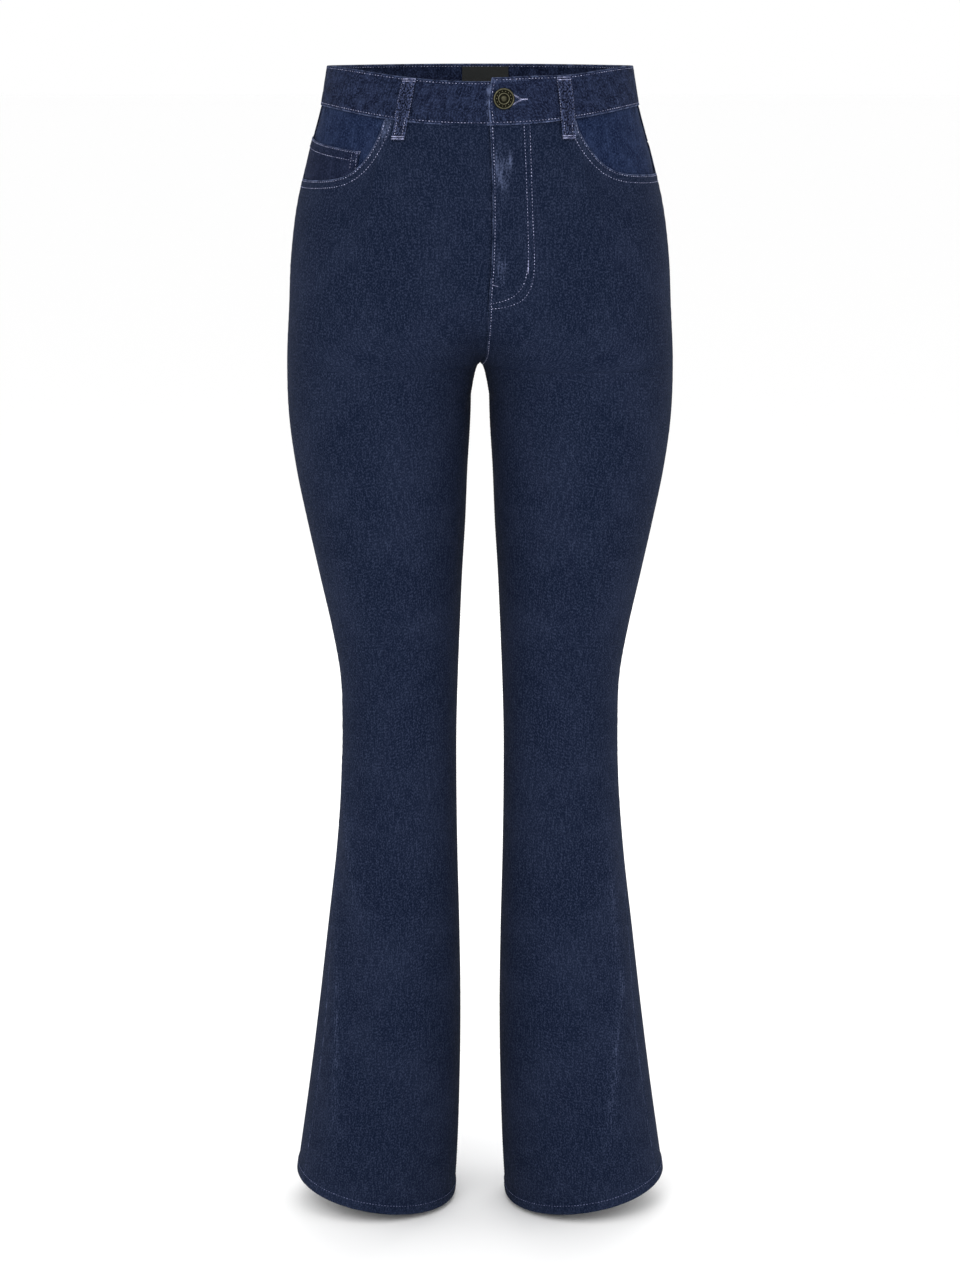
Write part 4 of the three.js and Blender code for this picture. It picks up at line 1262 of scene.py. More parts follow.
@dataclass
class LegPanels(Tailor):
    """The fronts and backs of the legs, with the fly and the hems."""

    fly_width: float = 39.0
    fly_end: float = -193.0
    fly_corner: float = 30.0
    fly_proud: float = 1.1
    fly_fade: float = 5.0
    under_fly: float = 5.0
    under_dip: float = 1.7
    under_yoke: float = 3.0
    yoke_dip: float = 1.6
    top_rows: int = 30
    hem_rows: int = 16
    hem_row: float = 9.0
    front_width: float = 200.0
    back_width: float = 220.0
    columns: int = 74
    fray_wear: float = 0.62
    fray_at: float = 4.5
    fray_half: float = 5.0
    fray_run: float = 32.0
    front_cut: Cut = Cut(0.31, 1.12, 0.222)
    back_cut: Cut = Cut(0.315, 1.08, 0.241)
    fly_row: float = 2.4
    fly_rows: tuple[tuple[tuple[float, float], ...], ...] = (
        ((38.9, -27), (41, -70), (42.6, -115), (43.6, -148), (41, -168), (34, -179), (24, -185), (9, -188.5)),
        ((44.2, -27), (45.6, -70), (47, -115), (48.8, -148), (47.6, -170), (39.5, -185), (27, -190.5),
         (9, -193)),
    )
    fly_bars: tuple[tuple[tuple[float, float], tuple[float, float], float], ...] = (
        ((43.4, -149), (43, -161), 1.1), ((11.5, -171), (16, -172.3), 1.0),
    )
    abrasions: tuple[tuple[float, ...], ...] = (
        (15.5, -66, 2.8, 18, 0.54), (19.6, -72, 2.6, 20, 0.56), (23.8, -74, 2.2, 19, 0.54),
        (27.4, -66, 1.1, 17, 0.5), (16.6, -156, 2.4, 15, 0.54), (20, -160, 2.0, 16, 0.54),
        (23.1, -164, 1.0, 14, 0.6), (15.5, -112, 2.2, 9, 0.26),
    )

    def heights(self, top: Array, hem: Array) -> Array:
        """Heights of a panel's rows.

        Args:
            top: The height of the panel's upper edge at each column.
            hem: The height of its hem at each column.

        Returns:
            The heights, a row of them for each column.
        """
        near = np.array(EDGE_STEPS)
        first = top[:, None] - near[-1] - 1.2
        below = mix(first, LEG_TOP_Z, np.linspace(0, 1, self.top_rows)[None, :-1])
        legs = np.tile(filled(LEG_KNOTS, self.row_step), (len(top), 1))
        start = hem[:, None] + HEM.fold + 2.0
        low = mix(LEG_KNOTS[-1], start, np.linspace(0, 1, self.hem_rows)[None, 1:])
        fold = hem[:, None] + HEM.fold + np.array([1.0, 0.3, -0.4, -1.1, -2.6, -4.2, -5.6])
        edge = hem[:, None] + near[::-1]
        return np.concatenate([top[:, None] - near, below, legs, low, fold, edge], axis=1)

    def hem_rise(self, patch: Patch) -> Array:
        """How far the doubled cloth of the hem stands out."""
        return HEM.proud * ease((HEM.height(patch.side, patch.u) + HEM.fold + 0.6 - patch.z) / 1.2)

    def fly_rise(self, patch: Patch) -> Array:
        """How far the fly stands out, with its rounded lower corner."""
        across = patch.base[..., 0] - FORM.fly_edge(patch.z)
        drop = np.clip((self.fly_end + self.fly_corner - patch.z) / self.fly_corner, 0.0, None)
        width = self.fly_width * np.sqrt(np.clip(1 - drop * drop, 0.0, 1.0))
        fade = ease((patch.z - self.fly_end + self.fly_fade) / self.fly_fade)
        return self.fly_proud * ease((width - across) / self.fly_fade + 0.5) * fade

    def front(self, side: Side) -> Patch:
        """Lays out the front of a leg."""
        sign = side.value
        shares = spread_shares(self.front_width, self.front_width / self.columns, EDGE_STEPS, SEAM_STEPS)
        cell = 1 / (len(FRONT_STEPS) - 1)
        hip = np.interp(shares, np.linspace(0, 1, len(FRONT_STEPS)), FRONT_STEPS)
        scooped = hip > SCOOP[0].u
        top = np.where(scooped, scoop_line(sign, hip), waist_line(WAIST_SEAM, hip) + self.tuck)
        z = self.heights(top, HEM.height(sign, shares / 2))
        even = ease((EVEN_FROM - z) / EVEN_RUN)
        share = shares[:, None]
        above = ease((z - CROTCH_Z) / 15)
        reach = FORM.fly_edge(z) + (self.under_fly * above if side is Side.RIGHT else 0.0)
        edge = np.where(z > CROTCH_Z, sign * FORM.u_at_x(reach, z), 0.0)
        first = mix(FRONT_STEPS[1], cell / 2, even)
        u = np.where(share < cell, mix(edge, first, share / cell), mix(hip[:, None], share / 2, even))
        patch = Patch(f"front_{side.word}", sign, u, z)
        x = patch.base[..., 0]
        if side is Side.LEFT:
            patch.lift = patch.lift + self.fly_rise(patch)
        else:
            under = ease((x - FORM.fly_edge(z) + self.under_fly - 1) / self.under_fly)
            patch.lift = patch.lift - self.under_dip * under * above
        patch.lift = patch.lift + self.hem_rise(patch)
        for cx, cz, rx, rz, strength in self.abrasions:
            away = ((x - cx) / rx) ** 2 + ((z - cz) / rz) ** 2
            patch.wear = np.maximum(patch.wear, strength * np.exp(-away))
        crotch = int((z[0] > CROTCH_Z).sum())
        inner = int((~scooped).sum())
        if side is Side.LEFT:
            fly = patch.edge("start", 0, crotch + 1)
            patch.finish(fly, FLY_SEAM, 3, 31)
        self.finish_seams(patch, patch.edge("start", crotch), patch.edge("end"), seed=40 + sign)
        scoop = patch.edge("top", inner)
        patch.finish(scoop, SCOOP_SEAM, 5 + sign, 50 + sign)
        away, along = scoop.measure(patch.base)
        across = (away - self.fray_at) / self.fray_half
        fray = self.fray_wear * np.exp(-(across**2) - (along / self.fray_run) ** 2)
        patch.wear = np.maximum(patch.wear, fray * (0.75 + 0.25 * Uneven(55, 2.4)(along)))
        waist = patch.edge("top", 0, inner + 1)
        patch.groove(waist, self.waist_sink, self.waist_reach)
        patch.pucker(waist, 0.2, 9, 5, 7, seed=60 + sign)
        return patch

    def back(self, side: Side) -> Patch:
        """Lays out the back of a leg."""
        sign = side.value
        shares = spread_shares(self.back_width, self.back_width / self.columns, SEAM_STEPS, SEAM_STEPS)
        u = mix(0.5, 1.0, shares)
        z = self.heights(yoke_line(u) + self.under_yoke, HEM.height(sign, u))
        patch = Patch(f"back_{side.word}", sign, np.broadcast_to(u[:, None], z.shape), z)
        patch.lift = patch.lift + self.hem_rise(patch)
        patch.lift = patch.lift - self.yoke_dip * ease((z - yoke_line(patch.u) + 2) / 3)
        crotch = int((z[-1] > CROTCH_Z).sum())
        seat = patch.edge("end", 0, crotch + 1)
        patch.finish(seat, SEAT_SEAM, 9, 70 + sign)
        self.finish_seams(patch, patch.edge("end", crotch), patch.edge("start"), seed=80 + sign)
        return patch

    def finish_seams(self, patch: Patch, inseam: Line, outseam: Line, seed: int) -> None:
        """Turns a panel in at its two leg seams and its hem, with their puckers.

        Args:
            patch: The panel.
            inseam: Its inside seam, below the crotch.
            outseam: Its side seam.
            seed: The first of the six seeds of their wear and puckers.
        """
        edges = ((inseam, INSEAM), (outseam, OUTSEAM), (patch.edge("bottom"), HEM_SEAM))
        for k, (line, seam) in enumerate(edges):
            patch.finish(line, seam, seed + 2 * k, seed + 2 * k + 1)

    def dress(self, finishes: Finishes, pale: Sewing, navy: Sewing) -> list[bpy.types.Object]:
        """Builds the four panels and sews their seams.

        Args:
            finishes: The materials.
            pale: The sewing in pale thread.
            navy: The sewing in dark thread.

        Returns:
            The panels.
        """
        pieces = []
        for side in Side:
            front = self.front(side)
            pieces.append(front.build(self.panel_wall, finishes.denim, "denim", self.front_cut))
            crotch = int((front.z[0] > CROTCH_Z).sum())
            navy.rows(front, front.edge("start", crotch), (row.at for row in INSEAM.rows))
            navy.rows(front, front.edge("bottom"), (self.hem_row,))
            scoop = front.edge("top", int((front.u[:, 0] <= SCOOP[0].u).sum()))
            pale.rows(front, scoop, (row.at for row in SCOOP_SEAM.rows))
            if side is Side.LEFT:
                self.sew_fly(front, pale, crotch)
            back = self.back(side)
            pieces.append(back.build(self.panel_wall, finishes.denim, "denim", self.back_cut))
            navy.rows(back, back.edge("bottom"), (self.hem_row,))
            if side is Side.LEFT:
                crotch = int((back.z[-1] > CROTCH_Z).sum())
                pale.rows(back, back.edge("end", 4, crotch + 1), (row.at for row in SEAT_SEAM.rows))
        return pieces

    def sew_fly(self, front: Patch, pale: Sewing, crotch: int) -> None:
        """Sews the fly's edge, its two curved rows and its bartacks."""
        pale.rows(front, front.edge("start", 0, crotch), (self.fly_row,))
        for outline in self.fly_rows:
            pale.row(front, Line(np.array([front.seen(x, z) for x, z in rounded(outline)])))
        for start, end, width in self.fly_bars:
            pale.bar(front, Vector(front.seen(*start)), Vector(front.seen(*end)), width)


def rounded(points: Iterable[tuple[float, float]], rounds: int = 3) -> Array:
    """An outline with its corners cut again and again until it is a smooth curve."""
    outline = np.array(list(points), float)
    for _ in range(rounds):
        near = mix(outline[:-1], outline[1:], 0.25)
        far = mix(outline[:-1], outline[1:], 0.75)
        inner = np.stack([near, far], axis=1).reshape(-1, outline.shape[1])
        outline = np.concatenate([outline[:1], inner, outline[-1:]])
    return outline


@dataclass
class Yokes(Tailor):
    """The back yokes, each sewn over the top of a back panel."""

    width: float = 200.0
    height: float = 52.0
    rows: float = 2.6
    yoke_cut: Cut = Cut(0.214, 0.069, 0.0109)

    def lay(self, side: Side) -> Patch:
        """Lays out one yoke."""
        across = mix(0.5, 1.0, spread_shares(self.width, self.column_step, SEAM_STEPS, SEAM_STEPS))[:, None]
        down = spread_shares(self.height, self.rows, SEAM_STEPS, EDGE_STEPS)[None, :]
        z = mix(waist_line(WAIST_SEAM, across) + self.tuck, yoke_line(across), down)
        patch = Patch(f"yoke_{side.word}", side.value, np.broadcast_to(across, z.shape), z)
        patch.finish(patch.edge("bottom"), YOKE_SEAM, 11 + side.value, 90 + side.value)
        patch.finish(patch.edge("end"), YOKE_SEAT, 13)
        patch.finish(patch.edge("start"), YOKE_SIDE, 14)
        patch.groove(patch.edge("top"), self.waist_sink, self.waist_reach)
        return patch

    def dress(self, finishes: Finishes, pale: Sewing) -> list[bpy.types.Object]:
        """Builds both yokes and sews their lower edges and the seat seam."""
        pieces = []
        for side in Side:
            patch = self.lay(side)
            pieces.append(patch.build(self.panel_wall, finishes.denim, "denim", self.yoke_cut))
            for which in ("bottom", "end") if side is Side.LEFT else ("bottom",):
                pale.rows(patch, patch.edge(which), (row.at for row in YOKE_SEAM.rows))
        return pieces


@dataclass
class HipPockets(Tailor):
    """The facings inside the scooped openings, and the coin pocket on one of them."""

    start: float = 0.155
    width: float = 150.0
    height: float = 50.0
    columns: float = 3.0
    rows: float = 2.4
    sink: float = 0.4
    clear: float = 0.7
    rest: float = 1.7
    ramp: float = 24.0
    arc: float = 380.0
    coin_width: float = 105.0
    coin_height: float = 32.0
    coin_columns: float = 2.6
    coin_rows: float = 1.6
    coin_start: float = 0.232
    coin_end: float = 0.494
    coin_top: tuple[float, float] = (-54.0, -42.5)
    coin_hem: float = 10.0
    facing_cut: Cut = Cut(0.157, 0.08, 0.0084)
    coin_cut: Cut = Cut(0.102, 0.043, 0.0034, ("pocket_facing_right",))

    def dip(self, side: Array, u: Array, z: Array) -> Array:
        """How deep the facing lies: under the front at the scoop, and nearly flush away from it."""
        above = (z - scoop_line(side, u)) / self.ramp
        beside_scoop = (u - SCOOP[0].u) * self.arc / self.ramp
        return -mix(self.panel_wall + self.clear, self.rest, ease(above) * ease(beside_scoop))

    def facing(self, side: Side) -> Patch:
        """Lays out one facing."""
        sign = side.value
        shares = spread_shares(self.width, self.columns, SEAM_STEPS, SEAM_STEPS)
        across = mix(self.start, 0.5, shares)[:, None]
        reach = mix(24.0, 12.0, ease((across - 0.199) / 0.03))
        down = spread_shares(self.height, self.rows, SEAM_STEPS, SEAM_STEPS)[None, :]
        z = mix(waist_line(WAIST_SEAM, across) + self.tuck, scoop_line(sign, across) - reach, down)
        u = np.broadcast_to(across, z.shape)
        patch = Patch(f"pocket_facing_{side.word}", sign, u, z)
        patch.lift = patch.lift + self.dip(sign, u, z)
        patch.groove(patch.edge("top"), self.sink, self.waist_reach)
        patch.pucker(patch.edge("top"), 0.3, 8, 5, 9, seed=17 + sign)
        patch.finish(patch.edge("end"), FACING_SIDE, 18)
        return patch

    def coin(self) -> Patch:
        """Lays out the coin pocket."""
        shares = spread_shares(self.coin_width, self.coin_columns, EDGE_STEPS, SEAM_STEPS)
        across = mix(self.coin_start, self.coin_end, shares)[:, None]
        top = mix(*self.coin_top, shares)[:, None]
        down = spread_shares(self.coin_height, self.coin_rows, EDGE_STEPS, SEAM_STEPS)[None, :]
        z = mix(top, scoop_line(-1, across) - 3.0, down)
        u = np.broadcast_to(across, z.shape)
        patch = Patch("coin_pocket", -1, u, z)
        above = ease((z - scoop_line(-1, u)) / 8)
        hem = 0.4 * ease((z - top + self.coin_hem + 0.6) / 1.2)
        patch.lift = patch.lift + self.dip(-1, u, z) + mix(0.5, 1.7, above) + hem * above
        patch.roll(patch.edge("top"), COIN_MOUTH.radius, COIN_MOUTH.wear, 19)
        patch.finish(patch.edge("start"), COIN_SIDE, 20)
        patch.pucker(patch.edge("top"), *COIN_MOUTH.puckers[0], seed=21)
        return patch

    def dress(self, finishes: Finishes, pale: Sewing) -> list[bpy.types.Object]:
        """Builds the facings and the coin pocket, and sews the coin pocket on."""
        facings = [
            self.facing(side).build(self.facing_wall, finishes.facing, "facing_denim", self.facing_cut)
            for side in Side
        ]
        coin = self.coin()
        piece = coin.build(self.facing_wall, finishes.coin, "facing_denim", self.coin_cut)
        top, start = coin.edge("top", 2), coin.edge("start", 2)
        fine = Stitch(1.5, 1.2, 0.62, 0.42)
        pale.rows(coin, top, (1.5, self.coin_hem - 1.3), fine)
        pale.rows(coin, start, (1.6, 7.2), fine)
        corner = coin.points[0, 0] + np.array([1.0, 0, -0.6])
        for drop in (0.0, 1.3):
            start = corner - np.array([0, 0, drop])
            pale.bar(coin, Vector(start), Vector(start + np.array([-4.6, 0, 0.5])), 1.4)
        return [*facings, piece]


@dataclass
class BackPockets(Tailor):
    """Plain patch pockets on the seat."""

    inner: float = 26.0
    top_width: float = 130.0
    low_width: float = 112.0
    drift: float = 4.0
    top_z: float = -96.0
    tilt: float = 10.0
    depth: float = 122.0
    point: float = 20.0
    proud: float = 2.1
    hem: float = 24.0
    wall: float = 1.2
    columns: float = 3.0
    rows: float = 3.2
    first_seed: int = 23
    pucker_seed: int = 100
    cuts: dict[Side, Cut] = field(
        default_factory=lambda: {side: Cut(0.134, 0.152, 0.0168, (f"back_{side.word}",)) for side in Side})

    def lay(self, side: Side) -> Patch:
        """Lays out one pocket."""
        across = spread_shares(self.top_width, self.columns, EDGE_STEPS, EDGE_STEPS)[:, None]
        down = spread_shares(self.depth, self.rows, EDGE_STEPS, EDGE_STEPS)[None, :]
        width = mix(self.top_width, self.low_width, down)
        middle = self.inner + self.top_width / 2 - self.drift * down
        top = self.top_z + self.tilt * across
        low = self.top_z + self.tilt / 2 - self.depth - self.point * (1 - np.abs(2 * across - 1))
        z = mix(top, low, down)
        u = self.round_seat(middle + width * (across - 0.5), z)
        patch = Patch(f"back_pocket_{side.word}", side.value, u, z)
        hem = 0.35 * ease((z - top + self.hem + 0.6) / 1.2)
        patch.lift = patch.lift + self.proud + hem
        for seed, which in enumerate(("start", "end", "bottom", "top")):
            seam = POCKET_MOUTH if which == "top" else POCKET_SEAM
            patch.finish(patch.edge(which), seam, self.first_seed + seed, self.pucker_seed + seed)
        return patch

    def round_seat(self, distance: Array, z: Array) -> Array:
        """The place u at a distance in millimetres round the seat from the centre back."""
        turns = np.linspace(1.0, 0.4, 241)
        heights = np.linspace(-50.0, -270.0, 45)
        points = FORM.place(1, turns[None, :], heights[:, None])
        arcs = np.cumsum(np.linalg.norm(np.diff(points, axis=1), axis=-1), axis=1)
        arcs = np.concatenate([np.zeros((len(heights), 1)), arcs], axis=1)
        places = np.empty(z.shape)
        for spot, height in np.ndenumerate(z):
            row = np.interp(-height, -heights, np.arange(len(heights)))
            low = int(min(row, len(heights) - 2))
            places[spot] = np.interp(distance[spot], mix(arcs[low], arcs[low + 1], row - low), turns)
        return places

    def dress(self, finishes: Finishes, pale: Sewing) -> list[bpy.types.Object]:
        """Builds the two pockets and sews them on."""
        pieces = []
        for side in Side:
            patch = self.lay(side)
            pieces.append(patch.build(self.wall, finishes.denim, "denim", self.cuts[side]))
            for which in ("start", "end", "bottom"):
                pale.rows(patch, patch.edge(which, 3, -3), (row.at for row in POCKET_SEAM.rows))
            pale.rows(patch, patch.edge("top", 3, -3), (self.hem - 2.0,))
            for corner, sign in ((patch.points[2, 3], 1), (patch.points[-3, 3], -1)):
                end = corner + np.array([0, 0, -8.0])
                pale.bar(patch, Vector(corner), Vector(end), 1.8)
        return pieces


@dataclass
class Waistband(Tailor):
    """The waistband with its overlapping end, the button, the buttonhole and the label."""

    length: float = 810.0
    height: float = 38.0
    columns: float = 2.9
    rows: float = 1.7
    under_end: float = 44.0
    under_shift: float = -1.4
    over_shift: float = 1.3
    run: float = 0.13
    over_from: float = 1.72
    over_lift: float = 3.2
    lift_from: float = 1.8
    tip_top: float = 10.6
    tip_low: float = 9.0
    tip_bow: float = 2.3
    button_x: float = 21.0
    button_share: float = 0.45
    button_gap: float = 0.3
    label_x: tuple[float, float] = (-17.0, 27.0)
    label_drop: tuple[float, float] = (2.5, 33.0)
    label_step: float = 2.5
    label_gap: float = 0.3
    label_size: tuple[float, float] = (44.0, 30.0)
    top_row: float = 2.2
    low_row: float = 2.6
    tip_row: float = 2.9
    whip_step: float = 0.55
    hole_lips: tuple[tuple[tuple[float, float], tuple[float, float]], ...] = (
        ((29, -3.2), (36.4, -7.3)), ((29, -12), (36.4, -7.9)),
    )
    hole_bar: tuple[tuple[float, float], tuple[float, float]] = ((36.2, -7.6), (42, -7.4))
    hole_bar_width: float = 1.4
    turned: tuple[tuple[str, Seam], ...] = (
        ("top", Seam(1.1, 0.62)), ("bottom", Seam(1.1, 0.8)), ("end", Seam(1.0, 0.95)),
    )
    drawn: tuple[tuple[str, Row], ...] = (("bottom", Row(2.6, 0.22, 0.8)), ("top", Row(2.3, 0.2, 0.8)))
    gathered: tuple[tuple[str, Pucker], ...] = (
        ("bottom", Pucker(0.5, 9, 5.5, 4.6)), ("top", Pucker(0.3, 7, 4, 6.5)),
        ("bottom", Pucker(0.35, 21, 8, 11)), ("bottom", Pucker(0.5, 11.2, 0.9, 3.2)),
    )
    band_cut: Cut = Cut(0.82, 0.044, 0.0317, ())
    label_cut: Cut = Cut(0.044, 0.031, 0.00135)

    def shift(self, t: Array) -> Array:
        """How far the band is moved in or out near its two ends."""
        under = self.under_shift * (1 - ease(t / self.run))
        return under + self.over_shift * ease((t - self.over_from) / self.run)

    def lay(self) -> Patch:
        """Lays out the band, from its under end over the wearer's right and the back to the front."""
        mean = (WAIST_TOP.side + WAIST_SEAM.side) / 2
        start = -float(FORM.u_at_x(self.under_end, mean))
        down = spread_shares(self.height, self.rows, EDGE_STEPS, EDGE_STEPS)[None, :]
        reach = mix(self.tip_top, self.tip_low, down) - self.tip_bow * np.sin(math.pi * down)
        end = 2 - FORM.u_at_x(reach, mean)
        t = mix(start, end, spread_shares(self.length, self.columns, EDGE_STEPS, EDGE_STEPS)[:, None])
        lift = self.over_lift * ease((t - self.lift_from) / self.run)
        z = mix(waist_line(WAIST_TOP, t) + lift, waist_line(WAIST_SEAM, t), down)
        patch = Patch("waistband", -1, t, z)
        patch.lift = self.shift(patch.u) + self.band_proud
        edges = {which: patch.edge(which) for which, _ in self.turned}
        for k, (which, seam) in enumerate(self.turned):
            patch.finish(edges[which], seam, 27 + k)
        for which, row in self.drawn:
            patch.channel(edges[which], *row)
        for k, (which, pucker) in enumerate(self.gathered):
            patch.pucker(edges[which], *pucker, seed=110 + 2 * k)
        return patch

    def spot(self) -> tuple[Vector, Vector]:
        """The foot of the button's shank, in millimetres, and the way it points."""
        u = FORM.u_at_x(self.button_x, WAIST_SEAM.side / 2)
        z = mix(waist_line(WAIST_TOP, u) + self.over_lift, waist_line(WAIST_SEAM, u), self.button_share)
        base = FORM.place(1, u, z)
        outward = FORM.outward(base)
        out = self.under_shift + self.band_proud + self.button_gap
        return Vector(base + outward * out), Vector(outward)

    def label(self) -> Patch:
        """Lays out the label inside the band at the centre back."""
        across, down = (
            spread_shares(size, self.label_step, EDGE_STEPS, EDGE_STEPS) for size in self.label_size
        )
        x = mix(*self.label_x, across)[:, None]
        z = WAIST_TOP.back - mix(*self.label_drop, down)[None, :]
        x, z = np.broadcast_arrays(x, z)
        side = np.where(x < 0, -1, 1)
        patch = Patch("label", side, FORM.u_at_x(np.abs(x), z, back=True), z)
        patch.lift = patch.lift + self.band_proud - self.band_wall - self.label_gap
        return patch

    def dress(self, finishes: Finishes, pale: Sewing) -> list[bpy.types.Object]:
        """Builds the band and the label, and sews the band's edges and the buttonhole."""
        band = self.lay()
        pieces = [band.build(self.band_wall, finishes.band, "band_denim", self.band_cut)]
        top = beside(band, band.edge("top", raised=True), self.top_row)
        low = beside(band, band.edge("bottom", raised=True), self.low_row)
        pale.row(band, top, Stitch(1.6, 1.3, 0.56, 0.4))
        pale.row(band, low)
        for line in (top, low):
            pale.row(band, line, Stitch(1.6, 1.3, 0.5, 0.36), wall=self.band_wall)
        pale.row(band, beside(band, band.edge("end", 5, -5, raised=True), self.tip_row))
        for start, end in self.hole_lips:
            self.whip(band, pale, start, end, Stitch(1.9, 0.0, 0.5, 0.5))
        height = self.over_shift + self.band_proud
        start, end = (Vector(band.seen(*place, height)) for place in self.hole_bar)
        pale.bar(band, start, end, self.hole_bar_width)
        label = self.label()
        pieces.append(label.build(self.label_wall, finishes.tape, "black_tape", self.label_cut))
        return pieces

    def whip(self, band: Patch, pale: Sewing, start: tuple, end: tuple, stitch: Stitch) -> None:
        """Whips one edge of the buttonhole with threads side by side."""
        height = self.over_shift + self.band_proud
        a, b = Vector(band.seen(*start, height)), Vector(band.seen(*end, height))
        run = b - a
        for k in range(int(run.length / self.whip_step) + 1):
            spot, normal, _, _ = band.tree.find_nearest((a + run * (k * self.whip_step / run.length)) * MM)
            pale.thread(spot, normal.cross(run).normalized(), normal, stitch)
        pale.keep()


@dataclass
class BeltLoops(Tailor):
    """Folded belt loops, each bartacked at its two ends."""

    width: float = 11.6
    below: float = 17.5
    above: float = -0.5
    bow: float = 2.1
    tail: float = 4.0
    fall: float = 7.0
    seat: float = 0.5
    wall: float = 1.8
    crown: float = 0.3
    length: float = 56.0
    columns: float = 0.9
    rows: float = 1.6
    row_at: float = 2.6
    worn_all_over: float = 0.04
    loop_cut: Cut = Cut(0.0135, 0.057, 0.00077)
    tacks: tuple[int, ...] = (4, 6, -7, -5)
    places: tuple[tuple[str, bool, float, float], ...] = (
        ("front_right", False, -61.8, -73.2), ("front_left", False, 73.2, 79.3),
        ("back_right", True, -92, -94), ("back_left", True, 92, 94), ("back_centre", True, 0, 0),
    )

    def lay(self, band: Waistband, word: str, back: bool, x0: float, x1: float) -> Patch:
        """Lays out one loop.

        Args:
            band: The waistband that it lies on.
            word: The end of its name.
            back: Whether it is on the back.
            x0: The x of its top.
            x1: The x of its bottom.

        Returns:
            The loop.
        """
        sign = -1 if x0 < 0 else 1
        seam_u = float(FORM.u_at_x(abs(x1), WAIST_SEAM.side, back))
        top = float(waist_line(WAIST_TOP, FORM.u_at_x(abs(x0), WAIST_TOP.side, back))) + self.above
        seam = float(waist_line(WAIST_SEAM, seam_u))
        seat = self.band_proud + 0.3 + float(band.shift(seam_u if sign < 0 else 2 - seam_u))
        down = spread_shares(self.length, self.rows, EDGE_STEPS, EDGE_STEPS)[None, :]
        across = spread(self.width, self.columns, EDGE_STEPS[:5], EDGE_STEPS[:5])[:, None] - self.width / 2
        z = mix(top, seam - self.below, down) + 0 * across
        x = mix(x0, x1, down) + across
        over = seat + self.bow * np.clip(np.sin(math.pi * (top - z) / (top - seam + self.tail)), 0, None)
        ends = seat + self.bow * math.sin(math.pi * (top - seam) / (top - seam + self.tail))
        lift = np.where(z > seam, over, mix(ends, self.seat, ease((seam - z) / self.fall)))
        side = np.where(x * sign < 0, -sign, sign)
        patch = Patch(f"belt_loop_{word}", side, FORM.u_at_x(np.abs(x), z, back), z)
        hollow = self.crown * (1 - (across / (self.width / 2)) ** 2)
        patch.lift = lift + self.wall + hollow
        patch.wear = np.full(z.shape, self.worn_all_over)
        for seed, which in enumerate(("start", "end", "top", "bottom")):
            patch.finish(patch.edge(which), LOOP_EDGE, 130 + seed)
        return patch

    def dress(self, band: Waistband, finishes: Finishes, pale: Sewing) -> list[bpy.types.Object]:
        """Builds the loops and tacks their ends."""
        pieces = []
        for word, back, x0, x1 in self.places:
            patch = self.lay(band, word, back, x0, x1)
            pieces.append(patch.build(self.wall - 0.2, finishes.loop, "loop_denim", self.loop_cut))
            for which in ("start", "end"):
                pale.rows(patch, patch.edge(which, 4, -4), (self.row_at,), Stitch(1.6, 0.8, 0.5, 0.34))
            for row in self.tacks:
                start, end = patch.points[2, row], patch.points[-3, row]
                pale.bar(patch, Vector(start), Vector(end), 1.0)
        return pieces


